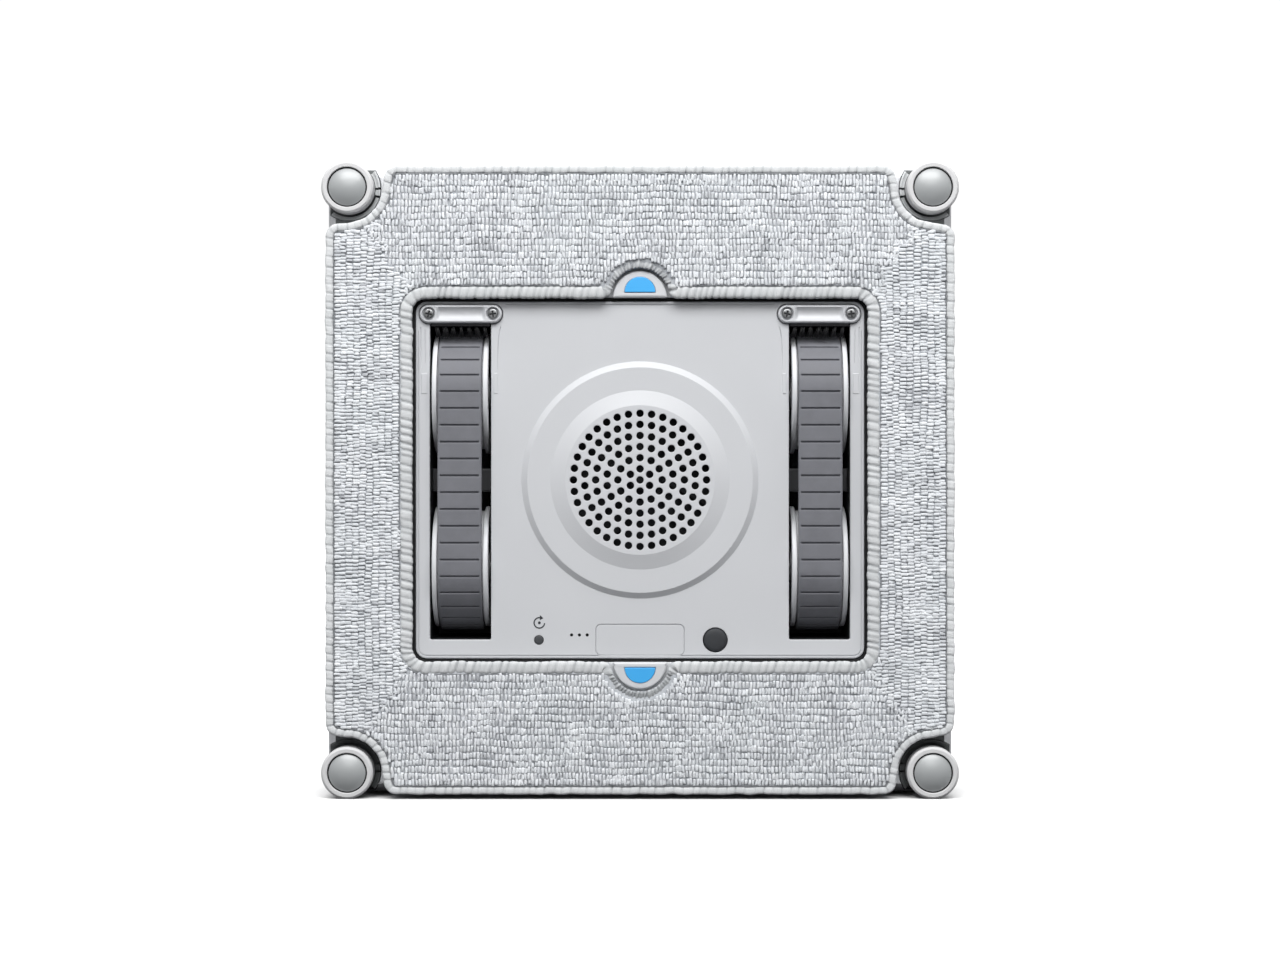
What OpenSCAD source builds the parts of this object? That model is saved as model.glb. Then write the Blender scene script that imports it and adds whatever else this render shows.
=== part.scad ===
// Square window cleaning robot, standing on its lower edge with its glass side
// towards -Y. Inside the modules a point is (x, w, v): w is the distance from
// the glass plane and v the height above the middle of the square.

/* [Overall] */
// Half of the square outline at its widest band
half_size = 136.5; // [136.5:0.1:138]
// Depth from the glass plane to the top of the handle
depth = 77; // [76:0.5:80]
// Wall thickness of the two shells
wall = 2.5; // [2.2:0.1:2.8]

/* [Cleaning cloth] */
// Half of the cloth outline
cloth_half = 134.2; // [133.8:0.1:134.6]
// Thickness of the cloth with its pile
cloth_t = 4.8; // [4.4:0.1:4.8]
// Half width of the opening in the cloth
open_x = 97.2; // [97:0.1:97.4]
// Half height of the opening in the cloth
open_v = 77.5; // [77.3:0.1:77.9]
// Radius of the corner notch round a roller
notch_r = 15.5; // [15.2:0.1:16]

/* [Underside panel] */
// Half width of the panel
panel_x = 96.3; // [96.1:0.1:96.5]
// Half height of the panel
panel_v = 76.6; // [76.4:0.1:76.8]
// Distance of the panel face from the glass plane
panel_w = 6.2; // [6:0.1:6.4]
// Distance of the grille disc from the glass plane
grille_w = 2.9; // [2.7:0.1:3.1]
// Outer radius of the raised round boss
boss_r = 51; // [50.5:0.1:51.2]
// Pitch of the grille rings
grille_pitch = 4.75; // [4.6:0.05:4.8]
// Number of grille rings round the centre hole
grille_rings = 6; // [4:1:6]
// Diameter of a grille hole
grille_d = 3.2; // [2.6:0.1:3.4]

/* [Tracks] */
// Distance of a belt's middle from the robot's middle
track_x = 77.1; // [77:0.1:77.2]
// Height of a wheel axle above and below the middle
wheel_v = 37.7; // [37.5:0.1:37.9]
// Outer radius of the belt round a wheel
belt_r = 27.5; // [27.3:0.1:27.5]
// Half width of a belt
belt_half = 9.4; // [9:0.1:9.5]
// Number of grooves across a belt
belt_grooves = 45; // [20:1:45]

/* [Corner rollers] */
// Distance of a roller's axis from the middle, both ways
roller_c = 125.35; // [125.35:0.01:125.4]
// Outer radius of a roller
roller_r = 11.15; // [11:0.05:11.15]
// Radius of the domed cap
cap_r = 7.95; // [7.7:0.05:8]

/* [Hidden] */
$fn = 64;

floor_w = 9;                    // front face of the lower housing's floor
floor_t = 2.5;
seam_w = 40;                    // where the two shells meet
cover_w = 62.5;                 // back face of the top cover
pocket_r = 14;                  // corner pocket round a roller
pocket_w = 14.6;                // floor of the corner pocket
slot_x0 = 63.9;                 // track slot, inner and outer side
slot_x1 = 90.2;
slot_v = 68.6;                  // half height of the track slot
well_t = 2;
bracket_x = 76.85;              // middle of a bracket, and its height
bracket_v = 71.2;
well_w = 55.8;                  // inner end of a track well
wheel_w = belt_r;               // wheel axles lie one belt radius behind the glass
rim_r = belt_r - 3.2;
flange_r = 26.2;
shaft_r = 3;
gear_m = 0.5;
gear_z = 56;
pinion_z = 16;
mesh_a = -45;                   // direction from the drive axle to the motor
mesh_d = gear_m * (gear_z + pinion_z) / 2;
motor_w = wheel_w + mesh_d * cos(mesh_a);
motor_v = -wheel_v + mesh_d * sin(mesh_a);
reset_x = -43.4;
button_v = -68.7;
power_x = 32.3;
start_v = -85;
inlet_x = 60;
eye_x = -60;
fitting_v = 105;
screw_at = [[108, 85], [-108, 85], [108, -85], [-108, -85], [114, 0], [-114, 0]];
corners = [[-1, 1], [1, 1], [-1, -1], [1, -1]];
light = [0.84, 0.85, 0.87];
dark = [0.2, 0.2, 0.22];
steel = [0.72, 0.73, 0.75];

// ---- placing and basic forms ----

module place() { translate([0, -depth / 2, half_size]) children(); }

// an outline in (x, v), from depth w0 to depth w1
module slab(w0, w1) {
    translate([0, w1, 0]) rotate([90, 0, 0]) linear_extrude(w1 - w0) children();
}

// an outline in (w, v), from x0 to x1
module slab_x(x0, x1) {
    translate([x0, 0, 0]) rotate([90, 0, 90]) linear_extrude(x1 - x0) children();
}

module rod_y(r, w0, w1, x = 0, v = 0) {
    translate([x, w1, v]) rotate([90, 0, 0]) cylinder(r = r, h = w1 - w0);
}

module rod_x(r, x0, x1, w = 0, v = 0) {
    translate([x0, w, v]) rotate([0, 90, 0]) cylinder(r = r, h = x1 - x0);
}

module box(lo, hi) { translate(lo) cube(hi - lo); }

// a turned form about the w direction: points are (radius, w)
module turned(points, x = 0, v = 0) {
    translate([x, 0, v]) rotate([90, 0, 0])
        rotate_extrude() polygon([for (p = points) [p[0], -p[1]]]);
}

// a turned form about the x direction: points are (radius, x)
module turned_x(points, x = 0, w = 0, v = 0) {
    translate([x, w, v]) rotate([0, 90, 0]) rotate_extrude() polygon(points);
}

// rounded rectangle with true arcs
module rr(hx, hv, r) {
    square([2 * hx, 2 * (hv - r)], center = true);
    square([2 * (hx - r), 2 * hv], center = true);
    for (sx = [-1, 1], sv = [-1, 1]) translate([sx * (hx - r), sv * (hv - r)]) circle(r);
}

module on_side(side) {
    if (side < 0) mirror([1, 0, 0]) children();
    else children();
}

// local +X points from a roller's axis towards the robot's middle
module at_corner(c) {
    translate([c[0] * roller_c, 0, c[1] * roller_c])
        rotate([0, atan2(c[1], -c[0]), 0]) children();
}

function arc(cx, cy, r, a0, a1, n) =
    [for (i = [0:n]) let (a = a0 + (a1 - a0) * i / n) [cx + r * cos(a), cy + r * sin(a)]];

// one corner of the cloth outline: a convex flare, the concave notch round the
// roller, and the second flare, in the (+, +) quadrant
function corner_run(e, rn) = let (k = e - 125.35 - 5.2) concat(
    arc(roller_c + k, roller_c - rn - 5.9, 5.2, 0, 92, 8),
    arc(roller_c, roller_c, rn, 268, 182, 16),
    arc(roller_c - rn - 5.9, roller_c + k, 5.2, -2, 90, 8));

function turn(p, q) =
    q == 0 ? p : q == 1 ? [-p[1], p[0]] : q == 2 ? [-p[0], -p[1]] : [p[1], -p[0]];

function ring_outline(e, rn) = [for (q = [0:3]) for (p = corner_run(e, rn)) turn(p, q)];

// ---- shells ----

// outer form of the lower housing, thinned by t: it flares from the pad side
// to the widest band at the seam
module lower_form(t) {
    hull() {
        slab(floor_w + t, floor_w + t + 0.2) rr(131 - t, 131 - t, 12 - t / 2, $fn = 32);
        slab(14.2, 14.4) rr(134 - t, 134 - t, 14 - t / 2, $fn = 32);
        slab(36, seam_w + (t > 0 ? 1 : 0)) rr(half_size - t, half_size - t, 16 - t / 2, $fn = 32);
    }
}

module cover_form(t) {
    hull() {
        slab(seam_w - (t > 0 ? 1 : 0), 45) rr(half_size - t, half_size - t, 16 - t / 2, $fn = 32);
        slab(53, 53.2) rr(134.6 - t, 134.6 - t, 16 - t / 2, $fn = 32);
        slab(59, 59.2) rr(130.5 - t, 130.5 - t, 16 - t / 2, $fn = 32);
        slab(cover_w - t - 0.2, cover_w - t) rr(124 - t, 124 - t, 16 - t / 2, $fn = 32);
    }
}

module lower_housing() color(light) place() difference() {
    union() {
        difference() {
            lower_form(0);
            lower_form(wall);
        }
        // walls of the corner pockets
        intersection() {
            lower_form(0);
            union() for (c = corners)
                rod_y(pocket_r + 2, floor_w, pocket_w + 2.4, c[0] * roller_c, c[1] * roller_c);
        }
        // track wells
        for (s = [-1, 1]) on_side(s)
            box([slot_x0 - well_t, floor_w, -slot_v - well_t],
                [slot_x1 + well_t, well_w + 1.7, slot_v + well_t]);
        // screw posts
        for (p = screw_at) rod_y(4, floor_w + 1, seam_w, p[0], p[1]);
        // stops for the roller springs
        for (c = corners) at_corner(c) box([14, pocket_w + 2, -4], [16, 29, 4]);
    }
    // pockets and the slots that the roller posts slide in
    for (c = corners) at_corner(c) {
        rod_y(pocket_r, floor_w - 1, pocket_w);
        rod_y(3.7, pocket_w - 1, pocket_w + 3, 0.4);
        rod_y(3.7, pocket_w - 1, pocket_w + 3, 2.2);
        box([0.4, pocket_w - 1, -3.7], [2.2, pocket_w + 3, 3.7]);
    }
    // insides of the wells
    for (s = [-1, 1]) on_side(s) {
        box([slot_x0, floor_w - 1, -slot_v], [slot_x1, well_w, slot_v]);
        rod_x(5, slot_x0 - 3, slot_x0 + 1, wheel_w, -wheel_v);
        rod_x(5, slot_x1 - 1, slot_x1 + 3, wheel_w, -wheel_v);
        rod_x(shaft_r, slot_x0 - 3, slot_x0 + 1, wheel_w, wheel_v);
        rod_x(shaft_r, slot_x1 - 1, slot_x1 + 3, wheel_w, wheel_v);
        for (dx = [-13.75, 13.75]) rod_y(1.3, floor_w - 1, floor_w + 4, bracket_x + dx, bracket_v);
    }
    // suction opening and the button holes
    rod_y(42, floor_w - 1, floor_w + 3);
    rod_y(2.8, floor_w - 1, floor_w + 3, reset_x, button_v);
    rod_y(6.2, floor_w - 1, floor_w + 3, power_x, button_v);
    // screw holes with their head seats
    for (p = screw_at) {
        rod_y(1.6, floor_w - 1, seam_w + 1, p[0], p[1]);
        rod_y(3.4, floor_w - 1, floor_w + 3, p[0], p[1]);
    }
}

module top_cover() color(light) place() difference() {
    union() {
        difference() {
            cover_form(0);
            cover_form(wall);
        }
        rod_y(48, 50, cover_w - 1);
        for (p = screw_at) rod_y(4, seam_w, cover_w - 1, p[0], p[1]);
        rod_y(15, cover_w - 6, cover_w - 1, 0, start_v);
        rod_y(9, cover_w - 14, cover_w - 1, inlet_x, fitting_v);
    }
    // finger dish under the handle
    turned([[0, 52.5], [37, 52.5], [45, cover_w + 1], [0, cover_w + 1]]);
    // exhaust opening
    box([-50, cover_w - 4, 80], [50, cover_w + 1, 96]);
    box([-53, cover_w - 1.2, 77], [53, cover_w + 1, 99]);
    // start button with its lens ring
    rod_y(10.1, cover_w - 8, cover_w + 1, 0, start_v);
    rod_y(12.6, cover_w - 2, cover_w + 1, 0, start_v);
    // power inlet
    rod_y(6, cover_w - 15, cover_w + 1, inlet_x, fitting_v);
    for (p = screw_at) rod_y(1.5, seam_w - 1, cover_w - 4, p[0], p[1]);
}

module carry_handle() color(light) place() difference() {
    slab_x(-62, 62) difference() {
        // bar section over the whole width, then the finger gap is cut below it
        translate([(cover_w + depth) / 2, 0]) rr((depth - cover_w) / 2, 13, 4.5);
    }
    box([-47, cover_w - 1, -14], [47, cover_w + 6.5, 14]);
    // slope off the two ends
    for (s = [-1, 1]) on_side(s)
        translate([62, cover_w + 3, 0]) rotate([0, 0, 40]) translate([-0.5, 0, -14]) cube([14, 30, 28]);
}

module exhaust_grille() color(dark) place() difference() {
    box([-53, cover_w - 1.2, 77], [53, cover_w + 0.3, 99]);
    for (i = [-12:12]) box([i * 4 - 1.1, cover_w - 2, 81], [i * 4 + 1.1, cover_w + 1, 95]);
}

module housing_screws() color(steel) place() for (p = screw_at) {
    rod_y(3.1, floor_w + 0.8, floor_w + 2.9, p[0], p[1]);
    rod_y(1.5, floor_w + 2.9, 54, p[0], p[1]);
}

module start_button() color(dark) place() {
    turned([[0, 56], [3, 56], [3, 60], [9.6, 60], [9.6, 63], [9, 63.6], [0, 63.8]], 0, start_v);
}

module status_lens() color([0.5, 0.75, 0.95]) place() difference() {
    rod_y(12.6, cover_w - 2, cover_w + 0.3, 0, start_v);
    rod_y(10.1, cover_w - 3, cover_w + 1, 0, start_v);
}

module power_inlet() color(dark) place() difference() {
    rod_y(6, cover_w - 14, cover_w, inlet_x, fitting_v);
    rod_y(2.75, cover_w - 10, cover_w + 1, inlet_x, fitting_v);
}

module tether_eye() color(steel) place() difference() {
    union() {
        slab_x(eye_x - 2.5, eye_x + 2.5) translate([cover_w + 5, fitting_v]) circle(7);
        box([eye_x - 2.5, cover_w, fitting_v - 7], [eye_x + 2.5, cover_w + 5, fitting_v + 7]);
        box([eye_x - 6.5, cover_w, fitting_v - 9], [eye_x + 6.5, cover_w + 1.5, fitting_v + 9]);
    }
    rod_x(3.5, eye_x - 5, eye_x + 5, cover_w + 6, fitting_v);
    box([eye_x - 9, cover_w - 3, fitting_v - 10], [eye_x + 9, cover_w, fitting_v + 10]);
}

// ---- pad side ----

module pad_frame() color(light) place() difference() {
    union() {
        slab(cloth_t + 0.8, floor_w) difference() {
            polygon(ring_outline(cloth_half - 1.2, notch_r + 0.6));
            rr(97.9, 78.2, 5.6);
        }
        // thumb tabs
        for (s = [-1, 1]) slab(3, cloth_t + 0.9) translate([0, s * 78.2]) intersection() {
            circle(11.6);
            translate([-15, s > 0 ? 0 : -15]) square([30, 15]);
        }
    }
    for (s = [-1, 1]) slab(2, 3.6) translate([0, s * 80.2]) intersection() {
        circle(6.7);
        translate([-10, s > 0 ? 0 : -10]) square([20, 10]);
    }
    for (p = screw_at) rod_y(3.6, floor_w - 5, floor_w + 1, p[0], p[1]);
}

module tab_inlays() color([0.33, 0.73, 0.96]) place()
    for (s = [-1, 1]) slab(2.7, 3.6) translate([0, s * 80.3]) intersection() {
        circle(6.5);
        translate([-10, s > 0 ? 0 : -10]) square([20, 10]);
    }

module hook_tape() color([0.6, 0.62, 0.65]) place() slab(cloth_t, cloth_t + 0.8) difference() {
    polygon(ring_outline(cloth_half - 4, notch_r + 4));
    rr(104, 92, 5);
}

module cleaning_cloth() color([0.88, 0.9, 0.92]) place() slab(0, cloth_t) difference() {
    polygon(ring_outline(cloth_half, notch_r));
    rr(open_x, open_v, 5.5);
    for (s = [-1, 1]) translate([0, s * (open_v + 0.4)]) circle(12.4);
}

// ---- underside panel ----

module underside_panel() color(light) place() difference() {
    union() {
        slab(panel_w, floor_w) rr(panel_x, panel_v, 4.5);
        turned([[0, floor_w], [boss_r, floor_w], [boss_r, panel_w], [boss_r - 2.6, 4.6],
            [38.4, 4.6], [32, grille_w], [0, grille_w]]);
    }
    // hollow behind the grille
    turned([[0, floor_w + 1], [44, floor_w + 1], [44, 6.8], [36.5, 6.8], [30.6, 4.6], [0, 4.6]]);
    rod_y(grille_d / 2, 1, 5);
    for (n = [1:grille_rings]) for (i = [0:6 * n - 1])
        let (a = 90 + i * 60 / n)
        rod_y(grille_d / 2, 1, 5, n * grille_pitch * cos(a), n * grille_pitch * sin(a), $fn = 24);
    for (s = [-1, 1]) on_side(s) {
        box([slot_x0, panel_w - 1, -slot_v], [slot_x1, floor_w + 1, slot_v]);
        for (dx = [-13.75, 13.75]) rod_y(1.3, panel_w - 1, floor_w + 1, bracket_x + dx, bracket_v);
    }
    // push buttons, sound holes and the bare plate recess
    rod_y(2.2, panel_w - 1, floor_w + 1, reset_x, button_v);
    rod_y(5.5, panel_w - 1, floor_w + 1, power_x, button_v);
    for (x = [-29.2, -25.9, -22.6]) rod_y(0.6, panel_w - 1, floor_w + 1, x, -66.4, $fn = 16);
    slab(panel_w - 1, panel_w + 0.3) translate([0, -68.3]) rr(19, 6.7, 2.3);
}

module panel_seal() color([0.06, 0.06, 0.07]) place() slab(7.4, floor_w) difference() {
    rr(97.9, 78.2, 5.6);
    rr(panel_x, panel_v, 4.5);
}

module track_brackets() color(light) place() for (s = [-1, 1]) on_side(s) difference() {
    slab(4.2, panel_w) translate([bracket_x, bracket_v]) rr(17.7, 3.95, 3.94);
    for (dx = [-13.75, 13.75]) {
        rod_y(1.3, 3, 7, bracket_x + dx, bracket_v);
        rod_y(2.9, 3, 5.2, bracket_x + dx, bracket_v);
    }
}

module bracket_screws() color(steel) place() for (s = [-1, 1], dx = [-13.75, 13.75])
    translate([s * bracket_x + dx, 0, bracket_v]) difference() {
        union() {
            turned([[0, 4.3], [2.2, 4.3], [2.7, 4.6], [2.7, 5.2], [0, 5.2]]);
            rod_y(1.25, 5, 11.2);
        }
        for (a = [0, 90]) rotate([0, a + 45, 0]) box([-1.5, 4, -0.3], [1.5, 4.8, 0.3]);
    }

module belt_brushes() color([0.05, 0.05, 0.06]) place() for (s = [-1, 1]) on_side(s) {
    box([64.4, panel_w, 66], [89.7, 9.4, 68.4]);
    for (i = [0:6])
        translate([66.9 + i * 3.4, 7.6, 66.2]) rotate([180, 0, 0]) cylinder(r1 = 1.1, r2 = 1.5, h = 4.9, $fn = 16);
}

module reset_button() color(dark) place()
    turned([[0, 6.4], [1.6, 6.4], [1.9, 6.7], [1.9, 13], [3.4, 13], [3.4, 14.5], [0, 14.5]], reset_x, button_v);

module power_button() color(dark) place()
    turned([[0, 5.3], [3, 5.4], [4.4, 5.8], [5.1, 6.6], [5.1, 13], [7, 13], [7, 14.5], [0, 14.5]], power_x, button_v);

// ---- tracks ----

module belt_loop(r) {
    translate([wheel_w, 0]) square([2 * r, 2 * wheel_v], center = true);
    for (s = [-1, 1]) translate([wheel_w, s * wheel_v]) circle(r);
}

// a point and its outward direction at length d along the belt's loop
function loop_len(r) = 4 * wheel_v + 2 * PI * r;
function belt_at(d, r) = let (l = 2 * wheel_v, h = PI * r, e = d)
    e < l ? [-r, e - wheel_v, 180] :
    e < l + h ? let (a = 180 - (e - l) / h * 180) [r * cos(a), wheel_v + r * sin(a), a] :
    e < 2 * l + h ? [r, wheel_v - (e - l - h), 0] :
    let (a = -(e - 2 * l - h) / h * 180) [r * cos(a), -wheel_v + r * sin(a), a];

module tread_belt(side) color([0.36, 0.36, 0.39]) place() on_side(side) difference() {
    slab_x(track_x - belt_half, track_x + belt_half) belt_loop(belt_r);
    slab_x(track_x - belt_half - 1, track_x + belt_half + 1) belt_loop(belt_r - 2.9);
    for (i = [0:belt_grooves - 1])
        let (p = belt_at((i + 0.5) * loop_len(belt_r) / belt_grooves, belt_r))
        translate([track_x, wheel_w + p[0], p[1]]) rotate([p[2], 0, 0])
            cube([2 * belt_half + 2, 1.6, 0.7], center = true);
}

module wheel(side, v, bore) color([0.78, 0.79, 0.81]) place() on_side(side) difference() {
    turned_x([[bore, -12], [7, -12], [7, -1.5], [21, -1.5], [21, -12], [flange_r - 0.5, -12],
        [flange_r, -11.5], [flange_r, -9.9], [rim_r, -9.9], [rim_r, 9.9], [flange_r, 9.9],
        [flange_r, 11.5], [flange_r - 0.5, 12], [21, 12], [21, 1.5], [7, 1.5], [7, 12], [bore, 12]],
        track_x, wheel_w, v);
    for (i = [0:5]) translate([track_x, wheel_w, v]) rotate([i * 60, 0, 0])
        rod_x(4, -3, 3, 14, 0);
}

module drive_shaft(side) color(steel) place() on_side(side)
    rod_x(shaft_r, 50.4, 92.8, wheel_w, -wheel_v);

// involute gear outline: tooth number 0 is centred on the first axis
function inv_at(rb, r) = let (a = acos(min(1, rb / r))) tan(a) * 180 / PI - a;
function gear_pts(z, slack) = let (
    r = gear_m * z / 2, rb = r * cos(20), ra = r + 0.9 * gear_m, rf = r - 1.25 * gear_m,
    half = (PI * gear_m / 2 - slack) / (2 * r) * 180 / PI + inv_at(rb, r),
    steps = [max(rb, rf), (max(rb, rf) + r) / 2, r, (r + ra) / 2, ra])
    [for (i = [0:z - 1]) let (c = i * 360 / z) each concat(
        [[rf * cos(c - half - 0.3), rf * sin(c - half - 0.3)]],
        [for (q = steps) let (a = c - half + inv_at(rb, q)) [q * cos(a), q * sin(a)]],
        [for (k = [4:-1:0]) let (q = steps[k], a = c + half - inv_at(rb, q)) [q * cos(a), q * sin(a)]],
        [[rf * cos(c + half + 0.3), rf * sin(c + half + 0.3)]])];

module drive_gear(side) color([0.9, 0.88, 0.8]) place() on_side(side) difference() {
    translate([0, wheel_w, -wheel_v]) union() {
        slab_x(54.2, 57.8) rotate(mesh_a) polygon(gear_pts(gear_z, 0.14));
        rod_x(5.5, 53.8, 59.6);
    }
    rod_x(shaft_r, 50, 62, wheel_w, -wheel_v);
}

module motor_pinion(side) color([0.8, 0.68, 0.35]) place() on_side(side)
    translate([0, motor_w, motor_v]) {
        slab_x(54, 58) rotate(mesh_a + 180 + 180 / pinion_z) polygon(gear_pts(pinion_z, 0.14));
        rod_x(1.5, 42, 58.6);
    }

module drive_motors() color(steel) place() for (s = [-1, 1]) on_side(s) difference() {
    union() {
        rod_x(7.9, 22, 51.4, motor_w, motor_v);
        rod_x(7.4, 8, 22, motor_w, motor_v);
        rod_x(2.6, 6, 8, motor_w, motor_v);
    }
    rod_x(1.56, 41, 52, motor_w, motor_v);
}

module gearbox_plates() color(dark) place() for (s = [-1, 1]) on_side(s) difference() {
    union() {
        slab_x(51.4, 53.4) difference() {
            union() {
                translate([wheel_w, -wheel_v]) circle(15.4);
                translate([motor_w, motor_v]) circle(9.2);
                translate([wheel_w, -wheel_v]) rotate(mesh_a) translate([0, -7.5]) square([mesh_d, 15]);
                translate([wheel_w - 3.6, -wheel_v]) square([7.2, 23]);
                translate([wheel_w, -wheel_v - 3.6]) square([23, 7.2]);
            }
            translate([wheel_w, -wheel_v]) circle(3.06);
            translate([motor_w, motor_v]) circle(2.4);
        }
        // stand-offs to the wall of the track well
        rod_x(2.2, 52.4, slot_x0 - well_t, wheel_w, -wheel_v + 19.5);
        rod_x(2.2, 52.4, slot_x0 - well_t, wheel_w + 19.5, -wheel_v);
    }
}

module idler_axles() color(steel) place() for (s = [-1, 1]) on_side(s)
    rod_x(shaft_r, 61.3, 92.8, wheel_w, wheel_v);

module shaft_bushes() color([0.75, 0.6, 0.35]) place() for (s = [-1, 1]) on_side(s) difference() {
    union() {
        rod_x(5, 61.3, 64.1, wheel_w, -wheel_v);
        rod_x(5, 90.25, 93, wheel_w, -wheel_v);
    }
    rod_x(3.06, 60, 94, wheel_w, -wheel_v);
}

module track_beams() color([0.32, 0.32, 0.34]) place() for (s = [-1, 1]) on_side(s)
    box([slot_x0, 20, -5.1], [slot_x1, 34, 5.1]);

// ---- corner rollers ----

module roller(c) color([0.9, 0.9, 0.9]) place()
    turned([[6.05, 11], [roller_r - 0.6, 11], [roller_r, 10.4], [roller_r, 2.6], [roller_r - 0.6, 2],
        [cap_r + 0.6, 2], [cap_r + 0.6, 3.6], [6.05, 3.6]], c[0] * roller_c, c[1] * roller_c);

module cap(c) color([0.6, 0.62, 0.64]) place()
    turned(concat([[0, 3.3], [cap_r, 3.3]],
        [for (i = [0:8]) let (r = cap_r * (8 - i) / 8) [r, 0.9 + 1.6 * pow(r / cap_r, 2)]]),
        c[0] * roller_c, c[1] * roller_c);

module carrier(c) color(dark) place() at_corner(c) {
    rod_y(6, 3.3, 11.3);
    rod_y(10.2, 11.3, 14.2);
    // post through the slot, and the collar that keeps it there
    rod_y(3.2, 14.2, 28, 0.4);
    intersection() {
        rod_y(6.5, 18.3, 20.3);
        box([-1.5, 18, -6], [7, 21, 6]);
    }
}

module spring(c) color(steel) place() at_corner(c) difference() {
    rod_x(2.7, 3.6, 14, 24.6, 0);
    rod_x(1.9, 2.6, 15, 24.6, 0);
}

module bump_switches() color(dark) place() for (c = corners) at_corner(c)
    box([6.5, pocket_w + 2.4, 6.6], [12.5, 29, 13]);

// ---- fan, power and control ----

module fan_impeller() color([0.3, 0.3, 0.32]) place() {
    rod_y(38, 24.5, 26);
    turned([[0, 17], [4, 17], [9, 24.6], [0, 24.6]]);
    rod_y(2.5, 26, 44);
    for (i = [0:10]) rotate([0, i * 360 / 11, 0]) translate([10, 0, 0]) rotate([0, 28, 0])
        box([0, 15.5, -0.7], [30, 24.6, 0.7]);
}

module fan_motor() color(steel) place() difference() {
    union() {
        rod_y(18, 32, 44);
        rod_y(14, 44, 47);
    }
    rod_y(2.56, 31, 45);
}

module fan_housing() color(dark) place() difference() {
    rod_y(50, floor_w + floor_t, 32);
    rod_y(47.5, floor_w + floor_t + 2, 30);
    rod_y(30, floor_w, 20);
    rod_y(6, 25, 33);
    // outlet towards the top
    box([-22, 16, 40], [22, 29, 52]);
}

module circuit_board() color([0.1, 0.35, 0.2]) place() {
    difference() {
        union() {
            box([-75, 20, -122], [75, 21.6, -73]);
            box([-55, 20, -74], [55, 21.6, -62]);
        }
        for (x = [-68, 68], v = [-116, -79]) rod_y(1.6, 19, 23, x, v);
    }
    box([-60, 21.6, -112], [-44, 33, -96]);
    box([-20, 21.6, -108], [-2, 24, -90]);
    box([14, 21.6, -116], [38, 30, -104]);
    rod_y(6, 21.6, 32, 52, -90);
    rod_y(6, 21.6, 32, 52, -106);
    // buzzer behind the sound holes, and the two push switches
    rod_y(5, 13.5, 20, -25.9, -66.6);
    box([reset_x - 3, 16.2, button_v - 3], [reset_x + 3, 20, button_v + 3]);
    box([power_x - 4, 17, button_v - 4], [power_x + 4, 20, button_v + 4]);
}

module battery_pack() color([0.15, 0.3, 0.55]) place() {
    for (v = [87.5, 106.5]) rod_x(9.2, -66, 66, 25, v);
    box([-67.5, 16, 78], [-66, 34, 116]);
    box([66, 16, 78], [67.5, 34, 116]);
    box([-66, 33, 90], [66, 34.5, 104]);
}

lower_housing();
top_cover();
carry_handle();
exhaust_grille();
housing_screws();
start_button();
status_lens();
power_inlet();
tether_eye();
pad_frame();
hook_tape();
cleaning_cloth();
tab_inlays();
underside_panel();
panel_seal();
track_brackets();
bracket_screws();
belt_brushes();
reset_button();
power_button();
tread_belt(-1);  // left_tread_belt
tread_belt(1);  // right_tread_belt
wheel(-1, -wheel_v, shaft_r);  // left_drive_wheel
wheel(1, -wheel_v, shaft_r);  // right_drive_wheel
wheel(-1, wheel_v, shaft_r + 0.06);  // left_idler_wheel
wheel(1, wheel_v, shaft_r + 0.06);  // right_idler_wheel
drive_shaft(-1);  // left_drive_shaft
drive_shaft(1);  // right_drive_shaft
drive_gear(-1);  // left_drive_gear
drive_gear(1);  // right_drive_gear
motor_pinion(-1);  // left_motor_pinion
motor_pinion(1);  // right_motor_pinion
drive_motors();
gearbox_plates();
idler_axles();
shaft_bushes();
track_beams();
roller(corners[0]);  // upper_left_roller
roller(corners[1]);  // upper_right_roller
roller(corners[2]);  // lower_left_roller
roller(corners[3]);  // lower_right_roller
cap(corners[0]);  // upper_left_cap
cap(corners[1]);  // upper_right_cap
cap(corners[2]);  // lower_left_cap
cap(corners[3]);  // lower_right_cap
carrier(corners[0]);  // upper_left_carrier
carrier(corners[1]);  // upper_right_carrier
carrier(corners[2]);  // lower_left_carrier
carrier(corners[3]);  // lower_right_carrier
spring(corners[0]);  // upper_left_spring
spring(corners[1]);  // upper_right_spring
spring(corners[2]);  // lower_left_spring
spring(corners[3]);  // lower_right_spring
bump_switches();
fan_impeller();
fan_motor();
fan_housing();
circuit_board();
battery_pack();
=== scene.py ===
import math

import bmesh
import bpy
import numpy as np
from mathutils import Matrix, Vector
from mathutils.geometry import tessellate_polygon


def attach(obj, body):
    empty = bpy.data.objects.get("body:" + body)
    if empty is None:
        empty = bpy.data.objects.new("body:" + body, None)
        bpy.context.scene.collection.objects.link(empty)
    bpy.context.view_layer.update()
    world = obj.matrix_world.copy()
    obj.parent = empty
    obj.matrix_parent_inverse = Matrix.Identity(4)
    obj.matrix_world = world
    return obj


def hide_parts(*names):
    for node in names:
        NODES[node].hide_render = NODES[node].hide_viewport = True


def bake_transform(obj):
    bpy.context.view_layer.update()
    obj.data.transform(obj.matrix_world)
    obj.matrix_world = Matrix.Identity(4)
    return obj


# Looks of a square window cleaning robot, glass side towards -Y, standing on its lower edge.
# Lengths below are millimetres in (x, w, v): w is the depth behind the glass plane and v the
# height above the middle of the square.

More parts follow.
